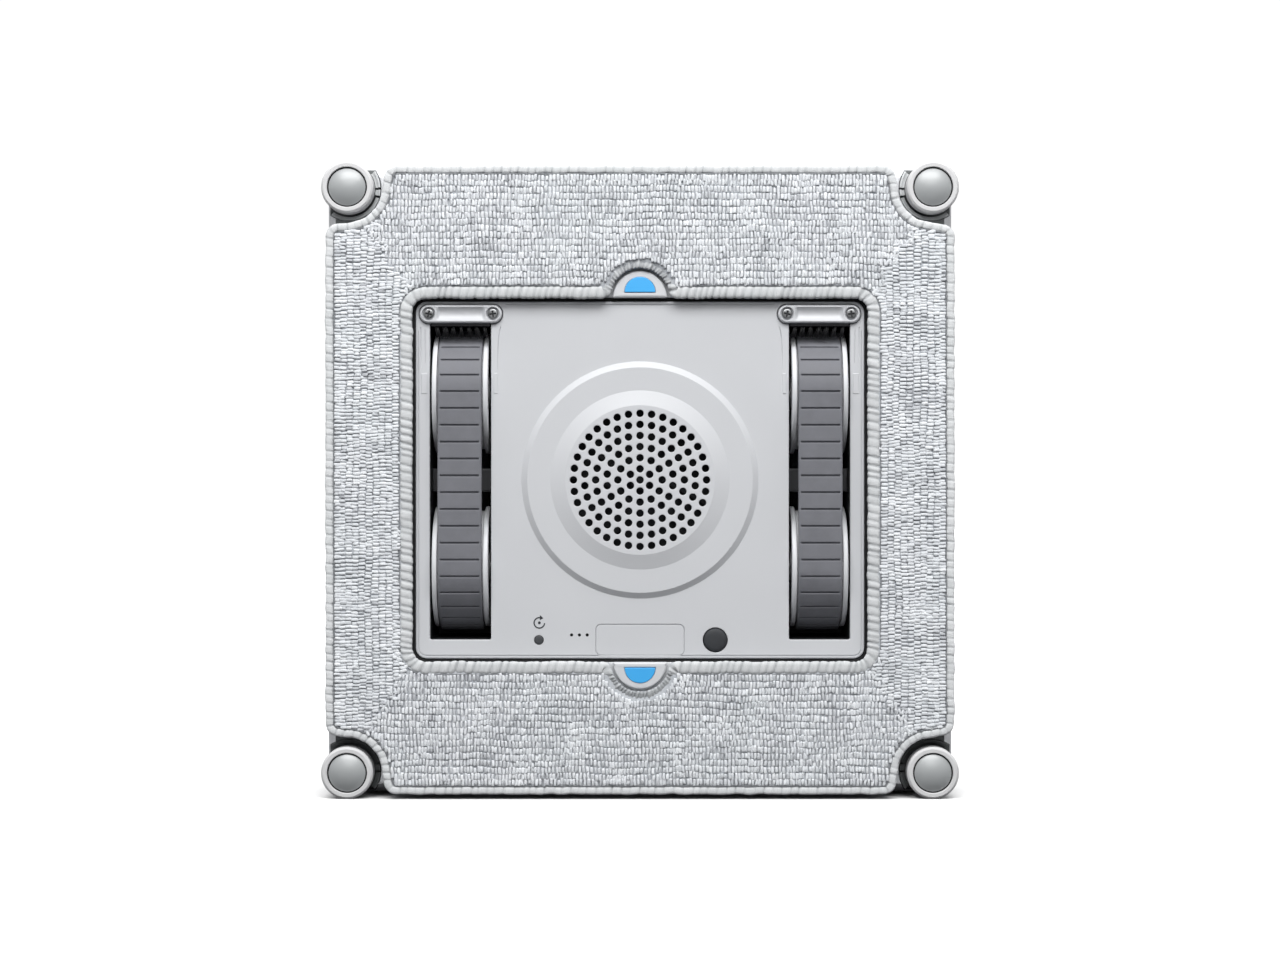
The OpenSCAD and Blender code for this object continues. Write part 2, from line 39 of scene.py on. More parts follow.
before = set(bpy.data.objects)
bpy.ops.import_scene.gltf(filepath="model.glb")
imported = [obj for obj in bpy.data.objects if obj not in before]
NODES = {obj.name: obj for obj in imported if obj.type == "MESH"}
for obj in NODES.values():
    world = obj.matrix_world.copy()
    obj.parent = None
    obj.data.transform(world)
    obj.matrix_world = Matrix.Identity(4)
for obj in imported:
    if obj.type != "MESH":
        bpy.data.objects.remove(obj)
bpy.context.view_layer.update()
scene = bpy.context.scene
rng = np.random.default_rng(1108)

MM = 0.001
ROLL = 125.35
CORNERS = {"upper_left": (-1, 1), "upper_right": (1, 1), "lower_left": (-1, -1), "lower_right": (1, -1)}


# ---------------------------------------------------------------- camera, light and floor

camera = bpy.data.objects.new("camera", bpy.data.cameras.new("camera"))
scene.collection.objects.link(camera)
camera.location = (0.0, -1.1385, 0.1365)
camera.rotation_euler = (math.radians(90), 0, 0)
camera.data.lens = 72.5
camera.data.sensor_width = 36
camera.data.clip_start = 0.02
scene.camera = camera
scene.view_settings.view_transform = "Standard"


def area_light(name, place, aim, size, power, shape="RECTANGLE", size_y=None):
    data = bpy.data.lights.new(name, "AREA")
    data.shape = shape
    data.size = size
    data.size_y = size_y or size
    data.energy = power
    o = bpy.data.objects.new(name, data)
    scene.collection.objects.link(o)
    o.location = place
    o.rotation_euler = (Vector(aim) - Vector(place)).to_track_quat("-Z", "Y").to_euler()
    return o


area_light("key_softbox", (0.0, -0.78, 1.075), (0, -0.02, 0.14), 1.3, 16.2, size_y=0.5)
area_light("front_fill", (0.0, -2.0, 1.05), (0, 0, 0.16), 1.2, 5.7, size_y=0.5)
area_light("rear_softbox", (0.0, 1.3, 1.3), (0, 0.02, 0.14), 1.6, 9.0, size_y=0.8)

world = bpy.data.worlds.new("studio")
scene.world = world
world.use_nodes = True
wt = world.node_tree
wt.nodes.clear()
w_out = wt.nodes.new("ShaderNodeOutputWorld")
w_mix = wt.nodes.new("ShaderNodeMixShader")
w_path = wt.nodes.new("ShaderNodeLightPath")
w_seen = wt.nodes.new("ShaderNodeBackground")
w_seen.inputs["Color"].default_value = (1, 1, 1, 1)
w_seen.inputs["Strength"].default_value = 1.05
w_lit = wt.nodes.new("ShaderNodeBackground")
w_tc = wt.nodes.new("ShaderNodeTexCoord")
w_sep = wt.nodes.new("ShaderNodeSeparateXYZ")
w_ramp = wt.nodes.new("ShaderNodeValToRGB")
w_map = wt.nodes.new("ShaderNodeMapRange")
w_map.inputs["From Min"].default_value = -1
w_map.inputs["From Max"].default_value = 1
els = w_ramp.color_ramp.elements
els[0].position, els[0].color = 0.40, (0.022, 0.023, 0.025, 1)
els[1].position, els[1].color = 1.0, (1.0, 1.0, 1.0, 1)
for pos, val in ((0.49, 0.07), (0.53, 0.34), (0.66, 0.60)):
    e = els.new(pos)
    e.color = (val * 0.985, val * 0.995, val, 1)
wt.links.new(w_tc.outputs["Generated"], w_sep.inputs[0])
wt.links.new(w_sep.outputs["Z"], w_map.inputs["Value"])
wt.links.new(w_map.outputs[0], w_ramp.inputs[0])
wt.links.new(w_ramp.outputs[0], w_lit.inputs["Color"])
w_lit.inputs["Strength"].default_value = 0.95
wt.links.new(w_path.outputs["Is Camera Ray"], w_mix.inputs[0])
wt.links.new(w_lit.outputs[0], w_mix.inputs[1])
wt.links.new(w_seen.outputs[0], w_mix.inputs[2])
wt.links.new(w_mix.outputs[0], w_out.inputs["Surface"])

floor_mesh = bpy.data.meshes.new("floor")
floor_mesh.from_pydata([(-6, -6, 0), (6, -6, 0), (6, 6, 0), (-6, 6, 0)], [], [(0, 1, 2, 3)])
floor = bpy.data.objects.new("floor", floor_mesh)
scene.collection.objects.link(floor)
fm = bpy.data.materials.new("studio_floor")
fm.use_nodes = True
ft = fm.node_tree
ft.nodes.clear()
f_out = ft.nodes.new("ShaderNodeOutputMaterial")
f_mix = ft.nodes.new("ShaderNodeMixShader")
f_path = ft.nodes.new("ShaderNodeLightPath")
f_dim = ft.nodes.new("ShaderNodeBsdfDiffuse")
f_dim.inputs["Color"].default_value = (0.08, 0.08, 0.085, 1)
f_add = ft.nodes.new("ShaderNodeAddShader")
f_dif = ft.nodes.new("ShaderNodeBsdfDiffuse")
f_dif.inputs["Color"].default_value = (0.92, 0.92, 0.92, 1)
f_emi = ft.nodes.new("ShaderNodeEmission")
f_tc = ft.nodes.new("ShaderNodeTexCoord")
f_far = ft.nodes.new("ShaderNodeVectorMath")
f_far.operation = "LENGTH"
f_ramp = ft.nodes.new("ShaderNodeMapRange")
for key, val in (("From Min", 0.17), ("From Max", 0.60), ("To Min", 0.0), ("To Max", 0.75)):
    f_ramp.inputs[key].default_value = val
ft.links.new(f_tc.outputs["Object"], f_far.inputs[0])
ft.links.new(f_far.outputs["Value"], f_ramp.inputs["Value"])
ft.links.new(f_ramp.outputs[0], f_emi.inputs["Strength"])
ft.links.new(f_path.outputs["Is Camera Ray"], f_mix.inputs[0])
ft.links.new(f_dim.outputs[0], f_mix.inputs[1])
ft.links.new(f_dif.outputs[0], f_add.inputs[0])
ft.links.new(f_emi.outputs[0], f_add.inputs[1])
ft.links.new(f_add.outputs[0], f_mix.inputs[2])
ft.links.new(f_mix.outputs[0], f_out.inputs["Surface"])
floor_mesh.materials.append(fm)


# ---------------------------------------------------------------- materials


class Mat:
    """A small node graph around one Principled shader, in the object's own coordinates."""

    def __init__(self, name):
        self.m = bpy.data.materials.new(name)
        self.m.use_nodes = True
        self.t = self.m.node_tree
        self.t.nodes.clear()
        self.out = self.new("ShaderNodeOutputMaterial")
        self.b = self.new("ShaderNodeBsdfPrincipled")
        self.link(self.b.outputs[0], self.out.inputs["Surface"])
        self.tc = self.new("ShaderNodeTexCoord")

    def new(self, kind, **values):
        n = self.t.nodes.new(kind)
        for k, v in values.items():
            if k in n.inputs:
                n.inputs[k].default_value = v
            else:
                setattr(n, k, v)
        return n

    def link(self, a, b):
        self.t.links.new(a, b)

    def noise(self, scale, detail=2.0, rough=0.5, stretch=None, distortion=0.0):
        n = self.new("ShaderNodeTexNoise", Scale=scale, Detail=detail, Roughness=rough, Distortion=distortion)
        if stretch:
            mp = self.new("ShaderNodeMapping")
            mp.inputs["Scale"].default_value = stretch
            self.link(self.tc.outputs["Object"], mp.inputs["Vector"])
            self.link(mp.outputs[0], n.inputs["Vector"])
        else:
            self.link(self.tc.outputs["Object"], n.inputs["Vector"])
        return n.outputs["Fac"]

    def ramp(self, source, stops):
        r = self.new("ShaderNodeValToRGB")
        e = r.color_ramp.elements
        while len(e) < len(stops):
            e.new(0.5)
        for el, (pos, col) in zip(e, stops):
            el.position = pos
            el.color = (*col, 1) if len(col) == 3 else col
        self.link(source, r.inputs[0])
        return r.outputs[0]

    def span(self, source, lo, hi, a=0.0, b=1.0):
        r = self.new("ShaderNodeMapRange")
        r.inputs["From Min"].default_value = a
        r.inputs["From Max"].default_value = b
        r.inputs["To Min"].default_value = lo
        r.inputs["To Max"].default_value = hi
        self.link(source, r.inputs["Value"])
        return r.outputs[0]

    def mix(self, fac, a, b, blend="MIX"):
        n = self.new("ShaderNodeMix", data_type="RGBA", blend_type=blend)
        ins = [s for s in n.inputs if s.type == "RGBA"]
        for sock, val in ((n.inputs[0], fac), (ins[0], a), (ins[1], b)):
            if isinstance(val, bpy.types.NodeSocket):
                self.link(val, sock)
            elif sock.type == "RGBA":
                sock.default_value = (*val, 1)
            else:
                sock.default_value = val
        return [s for s in n.outputs if s.type == "RGBA"][0]

    def bump(self, height, strength, distance, normal=None):
        n = self.new("ShaderNodeBump", Strength=strength, Distance=distance)
        self.link(height, n.inputs["Height"])
        if normal is not None:
            self.link(normal, n.inputs["Normal"])
        return n.outputs[0]

    def set(self, **values):
        for k, v in values.items():
            self.b.inputs[k.replace("_", " ")].default_value = v


def shade(c, k):
    return tuple(min(1.0, max(0.0, x * k)) for x in c)


def moulded(name, rgb, rough, var=0.03, grain=0.10, grain_mm=0.35, spec=0.5, coat=0.0, coat_rough=0.1, mottle=22, scuff=0.04, speck=0.0):
    """Moulded plastic: soft cloudiness, spark-eroded grain, faint rubbed marks."""
    m = Mat(name)
    cloud = m.noise(mottle, 4, 0.55)
    col = m.ramp(cloud, [(0.25, shade(rgb, 1 - var)), (0.5, rgb), (0.78, shade(rgb, 1 + var))])
    fine = m.noise(1000 / (grain_mm * 1.6), 2, 0.6)
    rub = m.noise(60, 5, 0.7, stretch=(1.0, 1.0, 0.22))
    if scuff:
        marks = m.ramp(rub, [(0.60, (0, 0, 0)), (0.74, (1, 1, 1))])
        col = m.mix(m.span(marks, 0, scuff), col, shade(rgb, 1.16))
    if speck:
        dots = m.ramp(m.noise(2600, 1), [(0.66, (0, 0, 0)), (0.72, (1, 1, 1))])
        col = m.mix(m.span(dots, 0, speck), col, shade(rgb, 0.55))
    m.link(col, m.b.inputs["Base Color"])
    wear = 1.0 if scuff else 0.2
    m.link(m.span(rub if scuff else cloud, max(0.02, rough - 0.06 * wear), rough + 0.07 * wear, 0.3, 0.7), m.b.inputs["Roughness"])
    m.link(m.bump(fine, grain, 0.00006), m.b.inputs["Normal"])
    m.set(Specular_IOR_Level=spec, Coat_Weight=coat, Coat_Roughness=coat_rough)
    return m.m


def metal(name, rgb, rough, brush=(1, 1, 18), depth=0.12):
    m = Mat(name)
    lines = m.noise(260, 3, 0.6, stretch=brush)
    m.link(m.ramp(lines, [(0.3, shade(rgb, 0.86)), (0.7, shade(rgb, 1.1))]), m.b.inputs["Base Color"])
    m.link(m.span(lines, rough - 0.07, rough + 0.1, 0.3, 0.7), m.b.inputs["Roughness"])
    m.link(m.bump(lines, depth, 0.00005), m.b.inputs["Normal"])
    m.set(Metallic=1.0)
    return m.m


def rubber(name, rgb, rough=0.62, grain=0.25, dusty=0.25):
    m = Mat(name)
    dust = m.noise(140, 5, 0.65)
    col = m.ramp(dust, [(0.35, rgb), (0.75, shade(rgb, 1 + dusty))])
    m.link(col, m.b.inputs["Base Color"])
    m.link(m.span(dust, rough - 0.08, rough + 0.12, 0.3, 0.7), m.b.inputs["Roughness"])
    m.link(m.bump(m.noise(2200, 2), grain, 0.00006), m.b.inputs["Normal"])
    m.set(Specular_IOR_Level=0.4)
    return m.m


M = {}
M["housing"] = moulded("housing_plastic", (0.70, 0.71, 0.73), 0.42, var=0.02, grain=0.12, scuff=0.008)
M["cover"] = moulded("cover_plastic", (0.70, 0.71, 0.725), 0.30, var=0.006, grain=0.03, coat=0.5, coat_rough=0.08, scuff=0.0)
M["panel"] = moulded("panel_plastic", (0.585, 0.595, 0.615), 0.40, var=0.018, grain=0.14, speck=0.04)
M["tab"] = moulded("tab_plastic", (0.62, 0.63, 0.65), 0.45, var=0.02, grain=0.12)
M["dark"] = moulded("dark_plastic", (0.035, 0.036, 0.04), 0.42, var=0.1, grain=0.2)
M["pin"] = moulded("reset_pin_plastic", (0.055, 0.058, 0.063), 0.5, var=0.1, grain=0.2)
M["grey"] = moulded("grey_plastic", (0.085, 0.087, 0.093), 0.45, var=0.08, grain=0.2)
M["wheel"] = moulded("wheel_plastic", (0.66, 0.67, 0.69), 0.36, var=0.03, grain=0.08)
M["roller"] = moulded("roller_plastic", (0.64, 0.64, 0.645), 0.55, var=0.02, grain=0.3, grain_mm=0.25)
M["cap"] = moulded("cap_plastic", (0.355, 0.37, 0.375), 0.40, var=0.02, grain=0.03, spec=0.8, coat=0.6, coat_rough=0.30, scuff=0.0)
M["nylon"] = moulded("nylon", (0.76, 0.73, 0.64), 0.5, var=0.03, grain=0.1)
M["belt"] = rubber("belt_rubber", (0.155, 0.158, 0.175), 0.60, 0.22, 0.18)
M["seal"] = rubber("seal_rubber", (0.008, 0.008, 0.009), 0.55, 0.2, 0.6)
M["switch"] = rubber("switch_rubber", (0.028, 0.030, 0.034), 0.60, 0.3, 0.3)
M["bristle"] = rubber("bristle", (0.009, 0.009, 0.010), 0.45, 0.1, 1.2)
M["blue"] = moulded("blue_plastic", (0.058, 0.42, 0.86), 0.38, var=0.03, grain=0.10, scuff=0.02)
M["steel"] = metal("steel", (0.60, 0.605, 0.61), 0.32)
M["screw"] = metal("screw_steel", (0.30, 0.305, 0.31), 0.34, brush=(1, 1, 1), depth=0.2)
M["motor"] = metal("motor_steel", (0.52, 0.53, 0.55), 0.38)
M["brass"] = metal("brass", (0.78, 0.58, 0.25), 0.30)
M["bronze"] = metal("bronze", (0.50, 0.34, 0.17), 0.48)
M["board"] = moulded("board", (0.02, 0.16, 0.07), 0.35, var=0.15, grain=0.2)
M["cell"] = moulded("cell_sleeve", (0.035, 0.04, 0.055), 0.3, var=0.08, grain=0.05)
M["ink"] = moulded("grey_ink", (0.048, 0.050, 0.056), 0.7, var=0.05, grain=0.05, spec=0.2)
# dark finish standing for painted shade on the corner pocket floors, lower ledges and rim plates
M["pocket"] = moulded("pocket_painted_shade", (0.10, 0.107, 0.108), 0.5, var=0.08, grain=0.25)
# dark finish standing for painted shade in the track wells and the sound holes
M["well"] = moulded("well_painted_shade", (0.022, 0.023, 0.026), 0.5, var=0.1, grain=0.2)
M["bezel"] = moulded("bezel_plastic", (0.60, 0.615, 0.62), 0.5, var=0.03, grain=0.3)


def cloth_material(name, low, mid, high, tint=True, bump=0.5):
    """Microfibre: colour by loop, whose tint attribute also carries painted shade, fibre streaks and a soft sheen."""
    m = Mat(name)
    if tint:
        at = m.new("ShaderNodeAttribute", attribute_name="tint")
        fac = at.outputs["Fac"]
    else:
        fac = m.noise(420, 3, 0.6)
    col = m.ramp(fac, [(0.0, low), (0.5, mid), (1.0, high)])
    fibres = m.noise(3200, 4, 0.7)
    patches = m.noise(38, 3, 0.6)
    col = m.mix(m.span(fibres, 0.0, 0.30, 0.45, 0.75), col, shade(low, 0.82))
    col = m.mix(m.span(patches, 0.0, 0.22, 0.45, 0.75), col, (mid[0] * 0.95, mid[1] * 1.0, mid[2] * 0.98))
    m.link(col, m.b.inputs["Base Color"])
    m.link(m.bump(fibres, bump, 0.00025), m.b.inputs["Normal"])
    m.set(Roughness=0.92, Specular_IOR_Level=0.15, Sheen_Weight=0.12, Sheen_Roughness=0.5)
    return m.m


M["pile"] = cloth_material("cloth_pile", (0.31, 0.32, 0.345), (0.70, 0.72, 0.748), (0.85, 0.866, 0.885))
# set darker than the pile: the backing's own tone plus painted shade between the loops
M["backing"] = cloth_material("cloth_backing", (0.36, 0.38, 0.41), (0.48, 0.50, 0.53), (0.58, 0.60, 0.625), tint=False)
# the inner hem is a darker copy of the outer hem's colours: painted shade
M["hem"] = cloth_material("cloth_hem", (0.27, 0.28, 0.295), (0.54, 0.555, 0.565), (0.71, 0.72, 0.73), bump=0.35)
M["hem_outer"] = cloth_material("cloth_hem_outer", (0.30, 0.31, 0.325), (0.60, 0.615, 0.625), (0.78, 0.79, 0.80), bump=0.35)
M["thread"] = cloth_material("cloth_thread", (0.17, 0.18, 0.19), (0.25, 0.26, 0.275), (0.36, 0.37, 0.385), tint=False)


def hook_material():
    m = Mat("hook_tape")
    v = m.new("ShaderNodeTexVoronoi", Scale=900.0)
    m.link(m.tc.outputs["Object"], v.inputs["Vector"])
    m.link(m.ramp(v.outputs["Distance"], [(0.0, (0.42, 0.44, 0.47)), (0.6, (0.22, 0.235, 0.26))]), m.b.inputs["Base Color"])
    m.link(m.bump(v.outputs["Distance"], 0.8, 0.0006), m.b.inputs["Normal"])
    m.set(Roughness=0.8)
    return m.m


M["hook"] = hook_material()


def lens_material():
    m = Mat("status_lens")
    c = m.noise(90, 2)
    m.link(m.ramp(c, [(0.3, (0.50, 0.70, 0.86)), (0.7, (0.62, 0.80, 0.93))]), m.b.inputs["Base Color"])
    m.set(Roughness=0.16, Transmission_Weight=0.25, IOR=1.49, Coat_Weight=0.3)
    m.b.inputs["Emission Color"].default_value = (0.35, 0.62, 0.9, 1)
    m.b.inputs["Emission Strength"].default_value = 0.12
    return m.m


M["lens"] = lens_material()


# ---------------------------------------------------------------- outlines


def arc(cx, cy, r, a0, a1, n):
    return [(cx + r * math.cos(a), cy + r * math.sin(a)) for a in np.radians(np.linspace(a0, a1, n + 1))]


def circle(cx, cy, r, n=48):
    return [(cx + r * math.cos(2 * math.pi * i / n), cy + r * math.sin(2 * math.pi * i / n)) for i in range(n)]


def rr(hx, hy, r, n=10, cx=0.0, cy=0.0):
    out = []
    for sx, sy, a in ((1, 1, 0), (-1, 1, 90), (-1, -1, 180), (1, -1, 270)):
        out += arc(cx + sx * (hx - r), cy + sy * (hy - r), r, a, a + 90, n)
    return out


def turn(p, q):
    return (p, (-p[1], p[0]), (-p[0], -p[1]), (p[1], -p[0]))[q]


def ring_outline(e, rn, n=1):
    k = e - 125.35 - 5.2
    run = (
        arc(ROLL + k, ROLL - rn - 5.9, 5.2, 0, 92, 12 * n)
        + arc(ROLL, ROLL, rn, 268, 182, 26 * n)
        + arc(ROLL - rn - 5.9, ROLL + k, 5.2, -2, 90, 12 * n)
    )
    return clean([turn(p, q) for q in range(4) for p in run])


def clean(pts, eps=1e-4):
    out = []
    for p in pts:
        if not out or math.dist(p, out[-1]) > eps:
            out.append((float(p[0]), float(p[1])))
    if len(out) > 1 and math.dist(out[0], out[-1]) <= eps:
        out.pop()
    return out


def area2(p):
    a = np.asarray(p, float)
    b = np.roll(a, -1, 0)
    return float((a[:, 0] * b[:, 1] - b[:, 0] * a[:, 1]).sum())


def ccw(p):
    p = clean(p)
    return p if area2(p) > 0 else p[::-1]


def offset(pts, d):
    """Moves a counter-clockwise loop inwards by d (outwards if d is negative)."""
    p = np.asarray(pts, float)
    e0, e1 = p - np.roll(p, 1, 0), np.roll(p, -1, 0) - p
    e0 /= np.linalg.norm(e0, axis=1)[:, None]
    e1 /= np.linalg.norm(e1, axis=1)[:, None]
    n0, n1 = np.stack([-e0[:, 1], e0[:, 0]], 1), np.stack([-e1[:, 1], e1[:, 0]], 1)
    k = np.maximum(1 + (n0 * n1).sum(1), 0.35)
    return [tuple(q) for q in p + d * (n0 + n1) / k[:, None]]


def fillet(pts, r, n=5, closed=True):
    out, m = [], len(pts)
    for i, p in enumerate(pts):
        ri = r[i] if hasattr(r, "__len__") else r
        if ri <= 0 or (not closed and i in (0, m - 1)):
            out.append((float(p[0]), float(p[1])))
            continue
        p = np.array(p, float)
        u, v = np.array(pts[i - 1], float) - p, np.array(pts[(i + 1) % m], float) - p
        lu, lv = np.linalg.norm(u), np.linalg.norm(v)
        u, v = u / lu, v / lv
        ang = math.acos(max(-1, min(1, float(u @ v))))
        if ang > math.pi - 1e-3:
            out.append(tuple(p))
            continue
        t = min(ri / math.tan(ang / 2), 0.49 * lu, 0.49 * lv)
        rad = t * math.tan(ang / 2)
        s = (u + v) / np.linalg.norm(u + v)
        c = p + s * (rad / math.sin(ang / 2))
        a0 = math.atan2(*(p + u * t - c)[::-1])
        a1 = math.atan2(*(p + v * t - c)[::-1])
        da = (a1 - a0 + math.pi) % (2 * math.pi) - math.pi
        out += [(c[0] + rad * math.cos(a0 + da * k / n), c[1] + rad * math.sin(a0 + da * k / n)) for k in range(n + 1)]
    return out


def resample(pts, step, closed=True):
    p = np.asarray(pts, float)
    if closed:
        p = np.vstack([p, p[:1]])
    d = np.concatenate([[0], np.cumsum(np.linalg.norm(np.diff(p, axis=0), axis=1))])
    n = max(8, int(round(d[-1] / step)))
    s = np.linspace(0, d[-1], n, endpoint=not closed)
    return np.stack([np.interp(s, d, p[:, 0]), np.interp(s, d, p[:, 1])], 1), s, d[-1]


def smooth_loop(p, width):
    """Rounds a closed, evenly stepped loop by a moving average over width points."""
    k = np.hanning(width + 2)[1:-1]
    k /= k.sum()
    h = width // 2
    q = np.vstack([p[-h:], p, p[:h]])
    return np.stack([np.convolve(q[:, i], k, "valid")[: len(p)] for i in (0, 1)], 1)


def inside(points, loop):
    """Which of the points lie inside a closed loop."""
    l = np.asarray(loop, float)
    a, b = l, np.roll(l, -1, 0)
    hit = np.zeros(len(points), bool)
    x, y = points[:, 0], points[:, 1]
    for (x0, y0), (x1, y1) in zip(a, b):
        if y0 == y1:
            continue
        cross = (y0 > y) != (y1 > y)
        hit ^= cross & (x < (x1 - x0) * (y - y0) / (y1 - y0) + x0)
    return hit


# ---------------------------------------------------------------- mesh building


def world_of(a):
    a = np.asarray(a, float)
    return np.stack([a[:, 0], a[:, 1] - 38.5, a[:, 2] + 136.5], 1) * MM


def on_w(p, d):
    return (p[0], d, p[1])


def on_x(p, d):
    return (d, p[0], p[1])


class Shape:
    def __init__(self):
        self.v, self.f, self.m = [], [], []

    def add(self, verts, faces, mat=0):
        k = len(self.v)
        self.v.extend(tuple(float(c) for c in p) for p in verts)
        self.f.extend(tuple(i + k for i in f) for f in faces)
        self.m.extend([mat] * len(faces))

    def rings(self, rs, closed=True, mat=0, cap0=False, cap1=False, loop=False):
        rs = list(rs) + ([rs[0]] if loop else [])
        n = len(rs[0])
        faces = []
        for j in range(len(rs) - 1):
            for i in range(n if closed else n - 1):
                a, b = j * n + i, j * n + (i + 1) % n
                faces.append((a, a + n, b + n, b))
        if cap0:
            faces.append(tuple(range(n)))
        if cap1:
            faces.append(tuple(reversed(range((len(rs) - 1) * n, len(rs) * n))))
        self.add([p for r in rs for p in r], faces, mat)

    def fill(self, loops, d, mat=0, back=False, put=on_w):
        tris = tessellate_polygon([[Vector((p[0], p[1], 0)) for p in l] for l in loops])
        flat = [p for l in loops for p in l]
        faces = []
        for t in tris:
            (ax, ay), (bx, by), (cx, cy) = (flat[i][:2] for i in t)
            s = (bx - ax) * (cy - ay) - (by - ay) * (cx - ax)
            if abs(s) < 1e-10:
                continue
            t = tuple(t) if s > 0 else tuple(t)[::-1]
            faces.append(t[::-1] if back else t)
        depth = d if callable(d) else (lambda p: d)
        self.add([put(p, depth(p)) for p in flat], faces, mat)

    def wall(self, loop, prof, mat=0, put=on_w):
        """A skin along a loop; prof is a list of (inset, depth)."""
        self.rings([[put(p, d) for p in (offset(loop, i) if i else loop)] for i, d in prof], mat=mat)

    def plate(self, outer, holes, w0, w1, rf=0.4, rb=0.2, seg=3, put=on_w, mat=0, hole_rf=None):
        def prof(f, b, sign):
            out = []
            steps = [i / seg * math.pi / 2 for i in range(seg + 1)]
            out += [(sign * f * (1 - math.sin(t)), w0 + f * (1 - math.cos(t))) for t in steps] if f else [(0, w0)]
            out += [(sign * b * (1 - math.sin(t)), w1 - b * (1 - math.cos(t))) for t in steps[::-1]] if b else [(0, w1)]
            return out

        outer, holes = ccw(outer), [ccw(h) for h in holes]
        po, ph = prof(rf, rb, 1), prof(rf if hole_rf is None else hole_rf, rb, -1)
        self.wall(outer, po, mat, put)
        for h in holes:
            self.wall(h, ph, mat, put)
        for at, back in ((0, False), (-1, True)):
            loops = [offset(outer, po[at][0]) if po[at][0] else outer]
            loops += [offset(h, ph[at][0]) if ph[at][0] else h for h in holes]
            self.fill(loops, po[at][1], mat, back, put)

    def lathe(self, prof, x=0.0, v=0.0, n=64, axis="w", loop=False, mat=0, w=0.0):
        a = [2 * math.pi * i / n for i in range(n)]
        rs = []
        for r, d in prof:
            r = max(r, 0.0)
            if axis == "w":
                rs.append([(x + r * math.cos(t), d, v + r * math.sin(t)) for t in a])
            else:
                rs.append([(x + d, w + r * math.cos(t), v + r * math.sin(t)) for t in a])
        self.rings(rs, mat=mat, loop=loop)


def dress(o, mats, body, replaces=()):
    for m in mats if isinstance(mats, (list, tuple)) else [mats]:
        o.data.materials.append(m)
    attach(o, body)
    if replaces:
        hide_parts(*([replaces] if isinstance(replaces, str) else replaces))
    return o


def build(s, name, mats, body="root", replaces=(), angle=35, weld=0.004, solid=None, front=None, flat_normals=True):
    """Turns a Shape into a piece. solid gives an open skin its wall thickness; front says which way its outer side looks."""
    bm = bmesh.new()
    vs = [bm.verts.new(p) for p in world_of(s.v)]
    for f, m in zip(s.f, s.m):
        f = list(dict.fromkeys(f))
        if len(f) < 3:
            continue
        try:
            face = bm.faces.new([vs[i] for i in f])
        except ValueError:
            continue
        face.material_index = m
        face.smooth = True
    bmesh.ops.remove_doubles(bm, verts=bm.verts, dist=weld * MM)
    bmesh.ops.dissolve_degenerate(bm, edges=bm.edges, dist=1e-7)
    loose = [v for v in bm.verts if not v.link_faces]
    if loose:
        bmesh.ops.delete(bm, geom=loose, context="VERTS")
    bmesh.ops.recalc_face_normals(bm, faces=bm.faces)
    if front is not None:
        bm.faces.ensure_lookup_table()
        best = max(bm.faces, key=lambda q: front * q.calc_center_median().y + 1e-3 * q.calc_area())
        if best.normal.y * front < 0:
            bmesh.ops.reverse_faces(bm, faces=bm.faces)
    me = bpy.data.meshes.new(name)
    bm.to_mesh(me)
    bm.free()
    me.set_sharp_from_angle(angle=math.radians(angle))
    o = bpy.data.objects.new(name, me)
    scene.collection.objects.link(o)
    dress(o, mats, body, replaces)
    if solid:
        t = o.modifiers.new("wall", "SOLIDIFY")
        t.thickness = solid * MM
        t.offset = -1
        t.use_even_offset = True
        t.thickness_clamp = 1.0
    if flat_normals:
        wn = o.modifiers.new("normals", "WEIGHTED_NORMAL")
        wn.keep_sharp = True
        wn.weight = 80
    return o


def fast_mesh(name, verts, quads=None, tris=None, tint=None, run=None):
    """A big mesh straight from arrays."""
    me = bpy.data.meshes.new(name)
    me.vertices.add(len(verts))
    me.vertices.foreach_set("co", world_of(verts).astype(np.float32).ravel())
    idx, starts, k = [], [], 0
    for block, size in ((quads, 4), (tris, 3)):
        if block is not None and len(block):
            idx.append(np.asarray(block, np.int32).ravel())
            starts.append(k + size * np.arange(len(block), dtype=np.int32))
            k += size * len(block)
    idx, starts = np.concatenate(idx), np.concatenate(starts)
    me.loops.add(len(idx))
    me.loops.foreach_set("vertex_index", idx)
    me.polygons.add(len(starts))
    me.polygons.foreach_set("loop_start", starts)
    me.update(calc_edges=True)
    me.validate()
    me.shade_smooth()
    for label, data in (("tint", tint), ("run", run)):
        if data is not None:
            at = me.attributes.new(label, "FLOAT", "POINT")
            at.data.foreach_set("value", np.asarray(data, np.float32))
    o = bpy.data.objects.new(name, me)
    scene.collection.objects.link(o)
    return o


def waves(x, y, seed, scale, n=7):
    """Smooth repeatable noise over the plane, about -1 to 1."""
    r = np.random.default_rng(seed)
    out = np.zeros_like(x, float)
    for _ in range(n):
        a, f, ph = r.uniform(0, 2 * math.pi), r.uniform(0.5, 1.6) / scale, r.uniform(0, 6.3)
        out += np.sin((x * math.cos(a) + y * math.sin(a)) * f * 2 * math.pi + ph)
    return out / math.sqrt(n)


# ---------------------------------------------------------------- underside panel

W_PANEL, W_FLOOR, W_GRILLE = 6.2, 9.0, 2.9
SLOT_X0, SLOT_X1, SLOT_V = 63.9, 90.2, 68.6
BR_X, BR_V, BR_HX, BR_HV = 76.85, 71.2, 17.7, 3.95


def slot_loop(side, r=0.9, grow=0.0):
    return rr((SLOT_X1 - SLOT_X0) / 2 + grow, SLOT_V + grow, r, 5, cx=side * (SLOT_X0 + SLOT_X1) / 2)


